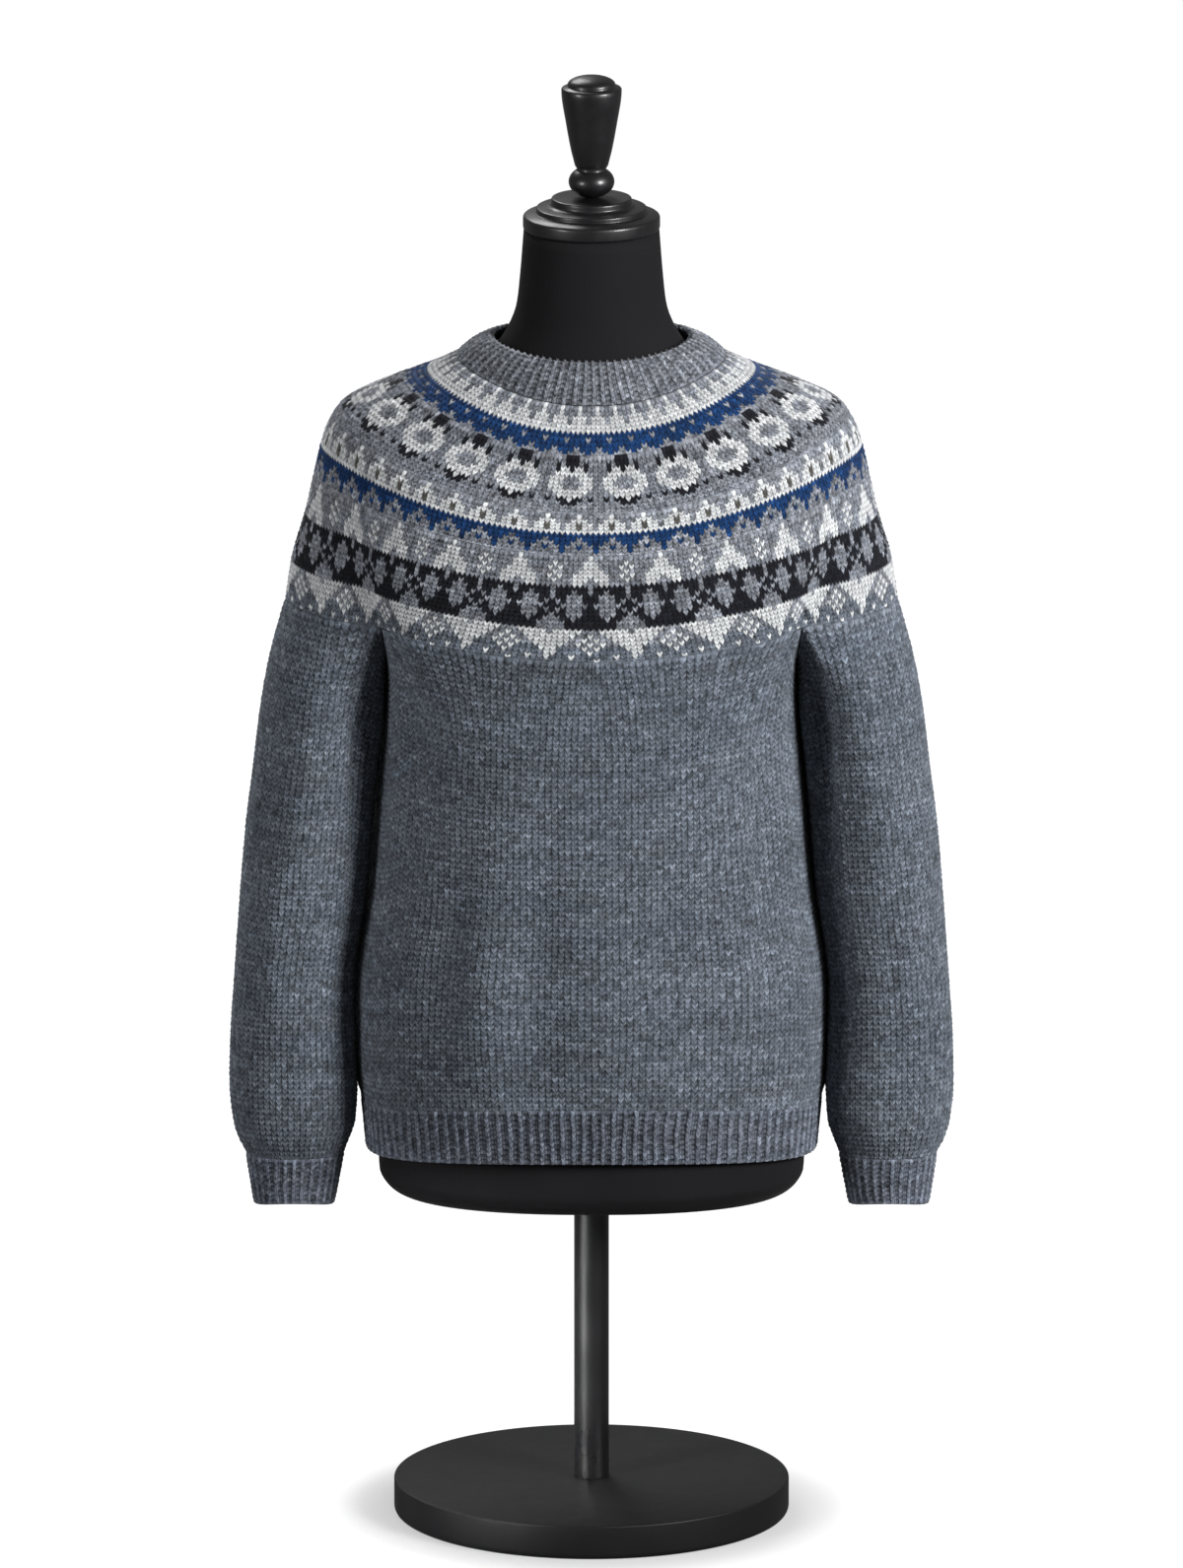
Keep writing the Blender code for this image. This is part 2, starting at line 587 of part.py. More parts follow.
def build_form(finish, collection):
    """The limbless dress form: one closed loft, flat at its underside and at its neck."""
    angles = np.linspace(-math.pi, math.pi, FORM_COLUMNS + 1)[:-1]
    rings = form_rings()[::-1]
    grid = np.array([ring_points(ring, angles, FORM_DROP) for ring in rings])
    rows, columns = grid.shape[:2]
    numbers = np.arange(rows * columns).reshape(rows, columns)
    faces = []
    for r in range(rows - 1):
        faces += strip(numbers[r], numbers[r + 1], columns, grid[r, :, 1])
    points = grid.reshape(-1, 3).tolist()
    for row, z in ((0, FORM_NECK_TOP), (rows - 1, FORM_UNDERSIDE)):
        centre = len(points)
        points.append([0.0, 0.0, z])
        for i in range(columns):
            k = (i + 1) % columns
            edge = (numbers[row][i], numbers[row][k])
            faces.append((centre, *edge) if row == 0 else (centre, *edge[::-1]))
    mesh = bpy.data.meshes.new("torso_form")
    mesh.from_pydata((np.array(points) * MM).tolist(), [], [tuple(map(int, f)) for f in faces])
    mesh.shade_smooth()
    return link("torso_form", mesh, finish, collection)


def turned(name, profile, steps, finish, collection):
    """A solid of revolution about Z from (radius, height) points, top to bottom."""
    mesh = bpy.data.meshes.new(name)
    points = [(radius * MM, 0.0, height * MM) for radius, height in profile]
    edges = [(i, i + 1) for i in range(len(points) - 1)]
    mesh.from_pydata(points, edges, [])
    made = link(name, mesh, finish, collection)
    screw = made.modifiers.new("turn", "SCREW")
    screw.axis = "Z"
    screw.angle = 2 * math.pi
    screw.screw_offset = 0.0
    screw.steps = steps
    screw.render_steps = steps
    screw.use_merge_vertices = True
    screw.merge_threshold = 0.00002
    screw.use_normal_calculate = False
    return made


def arc(centre_r, centre_z, radius_r, radius_z, start, end, count):
    """Points (radius, height) along part of an ellipse; angles in degrees from +radius."""
    turns = np.radians(np.linspace(start, end, count))
    return [(centre_r + radius_r * math.cos(t), centre_z + radius_z * math.sin(t)) for t in turns]


def build_knob(finish, collection):
    """The finial: low dome, groove, tapering cone and flattened ball."""
    dome = arc(0.0, KNOB_DOME_FOOT, KNOB_DOME_RADIUS, KNOB_TOP - KNOB_DOME_FOOT, 90, 0, 5)
    dome[0] = (0.0, KNOB_TOP)
    groove = [(KNOB_DOME_RADIUS, 1234.6), (23.6, 1234.2)]
    ball = arc(0.0, BALL_CENTRE, BALL_RADIUS, BALL_HALF_HEIGHT, 48, -72, 7)
    foot = [(0.0, KNOB_FOOT)]
    ball[-1] = (ball[-1][0], KNOB_FOOT)
    return turned("finial", dome + groove + list(KNOB_CONE) + ball + foot, 28, finish, collection)


def build_base(finish, collection):
    """The round base plate, with a crisp top edge and a rounded foot edge."""
    top = arc(BASE_RADIUS - BASE_TOP_ROUND, BASE_HEIGHT - BASE_TOP_ROUND,
              BASE_TOP_ROUND, BASE_TOP_ROUND, 90, 0, 3)
    foot = arc(BASE_RADIUS - BASE_FOOT_ROUND, BASE_FOOT_ROUND,
               BASE_FOOT_ROUND, BASE_FOOT_ROUND, 0, -90, 4)
    profile = [(0.0, BASE_HEIGHT)] + top + foot + [(0.0, 0.0)]
    return turned("base_plate", profile, 56, finish, collection)


def build_pole(finish, collection):
    """The pole, from the base's top to the form's underside."""
    low = BASE_HEIGHT + SEAM_GAP
    high = FORM_UNDERSIDE - SEAM_GAP
    bpy.ops.mesh.primitive_cylinder_add(
        vertices=28, radius=POLE_RADIUS * MM, depth=(high - low) * MM,
        location=(0.0, 0.0, (low + high) / 2 * MM))
    made = bpy.context.object
    made.name = "pole"
    made.data.materials.append(finish)
    for owner in list(made.users_collection):
        owner.objects.unlink(made)
    collection.objects.link(made)
    return made


def clear_scene():
    """Removes every object of the open scene."""
    for old in list(bpy.data.objects):
        bpy.data.objects.remove(old, do_unlink=True)


def main():
    """Builds the sweater, the form and the stand."""
    clear_scene()
    collection = bpy.data.collections.new("nordic_yoke_sweater_on_dress_form")
    bpy.context.scene.collection.children.link(collection)
    plain_knit = material("knit_grey", COLOURS["knit_grey"], 0.9)
    yoke_knit = material("knit_yoke", COLOURS["knit_yoke"], 0.9)
    cloth = material("form_cloth", COLOURS["form_cloth"], 0.8)
    wood = material("black_wood", COLOURS["black_wood"], 0.3)
    metal = material("black_metal", COLOURS["black_metal"], 0.55)

    outer, inner = yoke_grids()
    wall("yoke", outer, inner, yoke_knit, collection)
    build_neckband(plain_knit, collection, outer)
    body_outer, body_inner = body_grids(outer, inner)
    wall("body", body_outer, body_inner, plain_knit, collection)
    build_hem(plain_knit, collection, body_outer, body_inner)
    build_sleeves(plain_knit, collection, outer, inner)

    build_form(cloth, collection)
    turned("neck_cap", CAP_PROFILE, 32, wood, collection)
    build_knob(wood, collection)
    build_pole(metal, collection)
    build_base(metal, collection)


main()
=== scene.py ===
"""Looks of a nordic yoke sweater on a black dress form: knitting, jersey, lacquer, powder coat.

Every knitted piece is a closed shell. Its outside is made stitch by stitch: each stitch is a V of
two yarn legs, and the colourwork is charted one character to a stitch. The shapes are the same
tubes as the solids that they replace, and the stand's sizes are read from the frame.
"""

import logging
import math
from dataclasses import dataclass, field
from enum import Enum

import bpy
import numpy as np
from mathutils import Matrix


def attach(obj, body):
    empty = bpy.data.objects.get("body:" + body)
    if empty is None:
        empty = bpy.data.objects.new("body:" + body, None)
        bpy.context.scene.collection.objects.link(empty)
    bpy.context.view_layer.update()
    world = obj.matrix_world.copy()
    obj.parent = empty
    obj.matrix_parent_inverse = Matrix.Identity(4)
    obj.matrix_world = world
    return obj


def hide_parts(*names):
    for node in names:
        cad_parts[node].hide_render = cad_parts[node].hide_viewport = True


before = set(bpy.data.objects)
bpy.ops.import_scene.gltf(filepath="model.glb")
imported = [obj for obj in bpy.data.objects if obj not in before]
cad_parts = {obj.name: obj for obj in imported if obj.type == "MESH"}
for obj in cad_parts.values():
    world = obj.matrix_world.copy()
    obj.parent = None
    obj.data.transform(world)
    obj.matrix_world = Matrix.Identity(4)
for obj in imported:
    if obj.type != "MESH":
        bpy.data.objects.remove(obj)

LOG = logging.getLogger("sweater")
MM = 0.001
TURN = 2 * math.pi


# ---------------------------------------------------------------- colours, curves and small maths
def linear(code: str) -> tuple[float, float, float, float]:
    """Turns an sRGB hex colour to linear light.

    Args:
        code: six hex digits, such as "5f6872".

    Returns:
        Red, green, blue and an alpha of 1.
    """
    channels = []
    for start in (0, 2, 4):
        value = int(code[start:start + 2], 16) / 255
        low = value <= 0.04045
        channels.append(value / 12.92 if low else ((value + 0.055) / 1.055) ** 2.4)
    return (*channels, 1.0)


def through(keys: tuple, values: tuple, at: np.ndarray) -> np.ndarray:
    """A smooth curve through a table: cubic pieces whose slopes never overshoot a row.

    Args:
        keys: rising numbers, one for each row.
        values: the curve's value at each row.
        at: where to read the curve; it is held at its ends outside the table.

    Returns:
        The curve's values at the places asked for.
    """
    keys = np.asarray(keys, float)
    values = np.asarray(values, float)
    steps = np.diff(keys)
    slopes = np.diff(values) / steps
    same_way = slopes[:-1] * slopes[1:] > 0
    total = np.where(same_way, slopes[:-1] + slopes[1:], 1.0)
    inside = np.where(same_way, 2 * slopes[:-1] * slopes[1:] / total, 0.0)
    tangents = np.concatenate([slopes[:1], inside, slopes[-1:]])
    at = np.clip(np.asarray(at, float), keys[0], keys[-1])
    row = np.clip(np.searchsorted(keys, at, side="right") - 1, 0, len(keys) - 2)
    t = (at - keys[row]) / steps[row]
    rise = (3 - 2 * t) * t * t
    lift = t * (1 - t) ** 2 * tangents[row] * steps[row]
    fall = t * t * (1 - t) * tangents[row + 1] * steps[row]
    return values[row] * (1 - rise) + values[row + 1] * rise + lift - fall


def column(table: tuple, name: str) -> tuple:
    """One named column of a table of rows."""
    return tuple(getattr(row, name) for row in table)


def signed_power(value: np.ndarray, exponent: np.ndarray) -> np.ndarray:
    """The power of a number's size, with the number's own sign."""
    return np.sign(value) * np.abs(value) ** exponent


def plan(angles: np.ndarray, half_x: np.ndarray, front_y: np.ndarray, back_y: np.ndarray,
         square: np.ndarray) -> tuple[np.ndarray, np.ndarray, np.ndarray]:
    """A squared ellipse: |x/a|^n + |y/b|^n = 1, with b different to front and back.

    Args:
        angles: turns from +X in radians.
        half_x: half width a.
        front_y: the y of the front, below zero.
        back_y: the y of the back.
        square: the exponent n; 2 is an ellipse and more is squarer.

    Returns:
        x, y and the share |y/b| of the way to the front or back.
    """
    x = half_x * signed_power(np.cos(angles), 2.0 / square)
    share = signed_power(np.sin(angles), 2.0 / square)
    y = np.where(share < 0, -share * front_y, share * back_y)
    return x, y, np.abs(share)


def unit(vectors: np.ndarray) -> np.ndarray:
    """Vectors along the last axis, each of length 1."""
    return vectors / np.maximum(np.linalg.norm(vectors, axis=-1, keepdims=True), 1e-12)


def bump_at(value: np.ndarray, centre: float, width: float) -> np.ndarray:
    """A soft bell: 1 at its centre and near 0 two widths away."""
    return np.exp(-((value - centre) / width) ** 2)


def wrap_angle(angle: np.ndarray) -> np.ndarray:
    """An angle in radians brought to between -pi and pi."""
    return (angle + math.pi) % TURN - math.pi


# ---------------------------------------------------------------- tables of the cloth, millimetres
@dataclass(frozen=True)
class Ring:
    """A ring round the figure, with its own height at the sides, front and back."""

    side_x: float
    side_z: float
    front_y: float
    front_z: float
    back_y: float
    back_z: float
    square: float
    depth: float = 0.0


@dataclass(frozen=True)
class Level:
    """A level section of the body tube."""

    height: float
    half_x: float
    front_y: float
    back_y: float
    square: float


@dataclass(frozen=True)
class SleeveLevel:
    """A level section of a sleeve, by its edges as the front shows them."""

    height: float
    inner_x: float
    outer_x: float
    half_depth: float
    middle_y: float


@dataclass(frozen=True)
class Fold:
    """A soft ridge (depth above 0) or trough, by angle in degrees and by height."""

    angle: float
    spread: float
    low: float
    high: float
    depth: float
    lean: float = 0.0


YOKE_ROWS = (
    Ring(113.0, 1004.0, -80.0, 978.5, 78.0, 998.0, 2.20, 0.00),
    Ring(136.0, 993.0, -98.0, 961.0, 94.0, 985.0, 2.20, 0.10),
    Ring(185.0, 974.5, -113.5, 920.0, 108.0, 958.0, 2.20, 0.28),
    Ring(209.0, 962.0, -119.5, 903.0, 112.5, 942.0, 2.20, 0.37),
    Ring(221.0, 945.0, -125.0, 890.5, 115.5, 929.0, 2.20, 0.445),
    Ring(226.5, 929.0, -128.0, 881.0, 117.0, 919.0, 2.15, 0.50),
    Ring(240.0, 870.0, -133.0, 837.0, 119.0, 874.0, 2.05, 0.71),
    Ring(252.0, 828.0, -134.5, 799.0, 119.0, 830.0, 1.90, 0.875),
    Ring(257.0, 794.0, -135.0, 771.0, 119.0, 795.0, 1.85, 1.00),
)
BAND_TOP = Ring(84.0, 1023.0, -72.0, 1015.0, 62.0, 1021.0, 2.15)
BODY_LEVELS = (
    Level(319.0, 189.5, -124.5, 119.0, 2.20),
    Level(357.0, 192.5, -129.0, 123.0, 2.20),
    Level(400.0, 195.5, -132.0, 125.0, 2.25),
    Level(457.0, 196.0, -134.0, 125.0, 2.30),
    Level(556.0, 183.0, -135.0, 124.0, 2.35),
    Level(640.0, 176.0, -134.5, 122.0, 2.40),
    Level(700.0, 171.0, -133.0, 120.0, 2.45),
    Level(745.0, 169.5, -131.5, 118.0, 2.50),
    Level(800.0, 172.0, -131.0, 116.0, 2.50),
)
RIB_TOP = Ring(192.5, 362.0, -129.0, 382.0, 123.0, 364.0, 2.2)
HEM = Ring(189.5, 319.0, -124.5, 333.0, 119.0, 320.0, 2.2)
SLEEVE_LEVELS = (
    SleeveLevel(271.0, 217.5, 284.5, 29.0, -8.0),
    SleeveLevel(316.0, 209.0, 291.5, 32.5, -8.0),
    SleeveLevel(328.0, 204.5, 297.5, 37.0, -8.0),
    SleeveLevel(344.0, 199.5, 302.0, 42.0, -8.0),
    SleeveLevel(376.0, 197.8, 305.0, 46.5, -8.0),
    SleeveLevel(419.0, 199.3, 304.0, 48.5, -8.0),
    SleeveLevel(457.0, 199.8, 301.5, 50.5, -8.0),
    SleeveLevel(543.0, 189.0, 295.5, 54.5, -8.0),
    SleeveLevel(602.0, 184.0, 290.5, 57.5, -8.0),
    SleeveLevel(650.0, 180.5, 284.5, 59.5, -7.0),
    SleeveLevel(700.0, 177.0, 278.5, 62.0, -6.0),
    SleeveLevel(740.0, 175.5, 271.5, 65.0, -5.0),
    SleeveLevel(782.0, 173.0, 260.5, 68.0, -4.0),
    SleeveLevel(800.0, 172.0, 255.0, 70.0, -4.0),
)
FORM_RINGS = (
    Ring(180.0, 319.0, -115.0, 319.0, 106.0, 319.0, 2.3),
    Ring(181.5, 360.0, -118.0, 360.0, 109.0, 360.0, 2.3),
    Ring(180.0, 410.0, -119.0, 410.0, 110.0, 410.0, 2.3),
    Ring(170.0, 475.0, -114.0, 475.0, 105.0, 475.0, 2.3),
    Ring(160.0, 545.0, -109.0, 545.0, 99.0, 545.0, 2.3),
    Ring(158.0, 605.0, -113.0, 605.0, 99.0, 605.0, 2.3),
    Ring(161.0, 670.0, -121.0, 670.0, 104.0, 670.0, 2.35),
    Ring(163.0, 730.0, -126.0, 725.0, 110.0, 730.0, 2.4),
    Ring(168.0, 790.0, -127.0, 775.0, 113.0, 790.0, 2.4),
    Ring(183.0, 850.0, -127.0, 820.0, 113.0, 845.0, 2.3),
    Ring(196.0, 900.0, -123.0, 855.0, 111.5, 885.0, 2.2),
    Ring(199.5, 930.0, -117.0, 880.0, 109.5, 910.0, 2.2),
    Ring(195.0, 950.0, -112.0, 897.0, 107.0, 929.0, 2.2),
    Ring(180.0, 968.0, -107.0, 917.0, 101.0, 947.0, 2.2),
    Ring(134.0, 986.5, -92.0, 957.0, 84.0, 977.0, 2.2),
    Ring(104.0, 997.5, -71.0, 975.0, 63.0, 991.0, 2.2),
    Ring(82.5, 1011.0, -63.5, 996.0, 52.0, 1010.0, 2.1),
    Ring(71.5, 1026.0, -60.5, 1018.0, 50.5, 1028.0, 2.05),
    Ring(63.0, 1048.0, -59.5, 1046.0, 54.0, 1050.0, 2.0),
    Ring(60.0, 1074.0, -59.0, 1074.0, 58.0, 1074.0, 2.0),
    Ring(57.0, 1112.0, -57.0, 1112.0, 57.0, 1112.0, 2.0),
)
BODY_FOLDS = (
    Fold(-128.0, 9.0, 360.0, 650.0, -5.4, 4.0),
    Fold(-114.0, 8.0, 360.0, 600.0, 4.0),
    Fold(-70.0, 9.0, 360.0, 620.0, -5.0, -5.0),
    Fold(-52.0, 8.0, 380.0, 690.0, 3.2),
    Fold(-38.0, 7.0, 520.0, 770.0, -3.0, 3.0),
    Fold(-143.0, 7.0, 500.0, 770.0, -3.0, -3.0),
    Fold(-101.0, 8.0, 355.0, 640.0, -6.0, 4.0),
    Fold(-88.0, 8.0, 355.0, 620.0, 4.6, 2.0),
    Fold(60.0, 9.0, 380.0, 640.0, -2.8, 4.0),
    Fold(88.0, 10.0, 400.0, 590.0, 2.4),
    Fold(124.0, 9.0, 390.0, 680.0, -2.8, -4.0),
)
SLEEVE_FOLDS = (
    Fold(-146.0, 21.0, 330.0, 800.0, -6.0),
    Fold(-133.0, 12.0, 560.0, 860.0, -11.0, 6.0),
    Fold(-164.0, 11.0, 600.0, 830.0, 4.0),
    Fold(-84.0, 17.0, 520.0, 800.0, 2.2, -10.0),
    Fold(-44.0, 13.0, 560.0, 760.0, -2.4, 8.0),
    Fold(-116.0, 12.0, 600.0, 800.0, -2.2, 10.0),
    Fold(-66.0, 12.0, 400.0, 600.0, 2.4, 6.0),
    Fold(-110.0, 14.0, 480.0, 700.0, -3.0, 6.0),
    Fold(-30.0, 14.0, 360.0, 520.0, 2.4),
    Fold(-80.0, 12.0, 330.0, 450.0, -2.0, 12.0),
    Fold(-52.0, 10.0, 318.0, 372.0, 1.6),
    Fold(-105.0, 10.0, 318.0, 368.0, 1.6),
    Fold(70.0, 15.0, 560.0, 760.0, -3.0, -8.0),
    Fold(110.0, 15.0, 470.0, 690.0, 2.6),
    Fold(80.0, 11.0, 318.0, 372.0, 1.6),
)


def folded(folds: tuple, angle: np.ndarray, height: np.ndarray) -> np.ndarray:
    """Sum of folds: each is a bell across its angle, faded at both ends of its height.

    Args:
        folds: the folds to add up.
        angle: angle round the tube in radians.
        height: height in millimetres.

    Returns:
        How far out the cloth stands, in millimetres.
    """
    total = np.zeros(np.broadcast(angle, height).shape)
    degrees = np.degrees(angle)
    for fold in folds:
        reach = (fold.high - fold.low) / 2
        along = (height - (fold.low + fold.high) / 2) / reach
        away = (degrees - fold.angle - fold.lean * along + 180.0) % 360.0 - 180.0
        fade = np.clip(1 - along ** 2, 0, 1) ** 2
        total = total + fold.depth * bump_at(away, 0.0, fold.spread) * fade
    return total


def even_turns(points: np.ndarray, weight: np.ndarray, angles: np.ndarray,
               count: int) -> np.ndarray:
    """Angles at equal shares of a closed outline's weighted length.

    The running length of the outline, times a weight that crowds the stitches, is inverted.

    Args:
        points: a closed outline, one row for each angle, the last point equal to the first.
        weight: how crowded the stitches are at each point, 1 for usual.
        angles: the angle of each point, rising.
        count: how many equal shares.

    Returns:
        count + 1 angles, the last a full turn past the first.
    """
    lengths = np.linalg.norm(np.diff(points, axis=0), axis=1)
    lengths = lengths * (weight[1:] + weight[:-1]) / 2
    run = np.concatenate([[0.0], np.cumsum(lengths)])
    return np.interp(np.linspace(0, run[-1], count + 1), run, angles)


# ---------------------------------------------------------------- surfaces of the knitted tubes
class Surface:
    """A tube. q goes once round it, left to right seen from outside, and v from 0 down to 1."""

    normal_step: float = 0.0008

    def at(self, q: np.ndarray, v: np.ndarray) -> np.ndarray:
        """Points in millimetres at q round the tube and v down it."""
        raise NotImplementedError

    def normals(self, q: np.ndarray, v: np.ndarray) -> np.ndarray:
        """Outward normals, from the steps of the surface along q and v.

        Args:
            q: shares of the way round.
            v: shares of the way down.

        Returns:
            Unit vectors.
        """
        step = self.normal_step
        across = self.at(q + step, v) - self.at(q - step, v)
        low = np.clip(v + 4 * step, 0, 1)
        high = np.clip(v - 4 * step, 0, 1)
        return unit(np.cross(self.at(q, low) - self.at(q, high), across))


# The table columns that a level ring is drawn from.
RING_COLUMNS = ("side_x", "side_z", "front_y", "front_z", "back_y", "back_z", "square")


@dataclass
class YokeSurface(Surface):
    """The round yoke: rings that run down to the front, with stitches crowded at the armpits."""

    drop: float = 2.6
    split_x: float = 190.0
    samples: int = 720
    bands: int = 25
    crowd_front: float = -0.20
    crowd_armpit: float = 0.62
    crease_depth: float = 15.0
    crease_lean: float = 0.9
    turns: np.ndarray = field(init=False)

    def __post_init__(self) -> None:
        """Works out, band by band, the angle of each share of the stitches."""
        depths = np.linspace(0, 1, self.bands)
        angles = np.linspace(0, TURN, self.samples + 1) + math.pi / 2
        rows = []
        for depth in depths:
            outline = self.ring(np.full(angles.shape, depth), angles)
            rows.append(even_turns(outline, self.crowding(depth, angles), angles, self.samples))
        self.turns = np.array(rows)

    def split_angle(self) -> float:
        """The ring angle, from +X, where the lower edge passes from sleeve to body."""
        lower = YOKE_ROWS[-1]
        return math.acos((self.split_x / lower.side_x) ** (lower.square / 2))

    def crowding(self, depth: float, angles: np.ndarray) -> np.ndarray:
        """Stitches lie wide across the chest and close together in the armpit creases."""
        armpit = np.zeros(angles.shape)
        edge = self.split_angle()
        for side in (-edge, edge, math.pi - edge, edge - math.pi):
            armpit += bump_at(wrap_angle(angles - side), 0.0, 0.24)
        front = bump_at(wrap_angle(angles + math.pi / 2), 0.0, 0.62)
        front = front + bump_at(wrap_angle(angles - math.pi / 2), 0.0, 0.62)
        return 1 + depth ** 2 * (self.crowd_front * front + self.crowd_armpit * armpit)

    def ring(self, depth: np.ndarray, angles: np.ndarray) -> np.ndarray:
        """Points of the ring at a depth: a squared ellipse whose height falls to front and back.

        Args:
            depth: share of the way down the yoke.
            angles: ring angles in radians from +X.

        Returns:
            Points in millimetres.
        """
        depths = column(YOKE_ROWS, "depth")
        read = {name: through(depths, column(YOKE_ROWS, name), depth)
                for name in RING_COLUMNS}
        x, y, share = plan(angles, read["side_x"], read["front_y"], read["back_y"], read["square"])
        end = np.where(np.sin(angles) < 0, read["front_z"], read["back_z"])
        z = read["side_z"] + (end - read["side_z"]) * share ** self.drop
        sink = np.clip((depth - 0.45) / 0.55, 0, 1) ** 1.6 * self.crease_depth
        edge = self.split_angle() * (1 - self.crease_lean * (1 - depth))
        for side in (-edge, edge, math.pi - edge, edge - math.pi):
            pull = sink * bump_at(wrap_angle(angles - side), 0.0, 0.12)
            reach = np.maximum(np.hypot(x, y), 1.0)
            x = x - x / reach * pull
            y = y - y / reach * pull
        return np.stack([x, y, z], axis=-1)

    def angle(self, q: np.ndarray, v: np.ndarray) -> np.ndarray:
        """The ring angle of a share of the stitches, read from the table of turns."""
        q = np.asarray(q, float)
        laps = np.floor(q)
        place = (q - laps) * self.samples
        band = np.clip(np.asarray(v, float), 0, 1) * (self.bands - 1)
        i = np.clip(place.astype(int), 0, self.samples - 1)
        k = np.clip(band.astype(int), 0, self.bands - 2)
        s = place - i
        t = band - k
        near = self.turns[k, i] * (1 - s) + self.turns[k, i + 1] * s
        far = self.turns[k + 1, i] * (1 - s) + self.turns[k + 1, i + 1] * s
        return near * (1 - t) + far * t + laps * TURN

    def at(self, q: np.ndarray, v: np.ndarray) -> np.ndarray:
        """Points in millimetres; q of 0 is the middle of the back."""
        return self.ring(np.clip(v, 0, 1), self.angle(q, v))


@dataclass
class BandSurface(Surface):
    """The doubled neckband: up its inside, over a half round, and down its outside."""

    yoke: YokeSurface
    wall: float = 6.0
    gap: float = 0.05
    swell: float = 2.4
    normal_step: float = 0.001

    def frame_at(self, q: np.ndarray) -> tuple[np.ndarray, ...]:
        """Foot, top, unit vector up the band and unit vector to its inside."""
        angles = self.yoke.angle(q, np.zeros(np.shape(q)))
        zero = np.zeros(np.shape(q))
        foot = self.yoke.ring(zero, angles) + np.array([0.0, 0.0, self.gap])
        x, y, share = plan(angles, BAND_TOP.side_x, BAND_TOP.front_y, BAND_TOP.back_y,
                           BAND_TOP.square)
        end = np.where(np.sin(angles) < 0, BAND_TOP.front_z, BAND_TOP.back_z)
        z = BAND_TOP.side_z + (end - BAND_TOP.side_z) * share ** self.yoke.drop
        top = np.stack([x, y, z], axis=-1)
        up = unit(top - foot)
        step = 0.001
        along = self.yoke.ring(zero, self.yoke.angle(q + step, zero)) - self.yoke.ring(
            zero, self.yoke.angle(q - step, zero))
        inward = unit(np.cross(up, along))
        return foot, top, up, inward

    def at(self, q: np.ndarray, v: np.ndarray) -> np.ndarray:
        """Points along the band's section by length: inner line, half circle, outer line."""
        q, v = np.broadcast_arrays(np.asarray(q, float), np.asarray(v, float))
        foot, top, up, inward = self.frame_at(q)
        radius = self.wall / 2
        side = np.linalg.norm(top - foot, axis=-1) - radius
        bend = math.pi * radius
        total = 2 * side + bend
        run = v * total
        inner = np.clip(run, 0, side)
        turn = np.clip((run - side) / radius, 0, math.pi)
        outer = np.clip(run - side - bend, 0, side)
        rise = inner + np.sin(turn) * radius - outer
        inset = radius + np.cos(turn) * radius
        swell = self.swell * np.sin(np.pi * np.clip(outer / side, 0, 1)) ** 0.8
        return foot + up * rise[..., None] + inward * (inset - swell)[..., None]


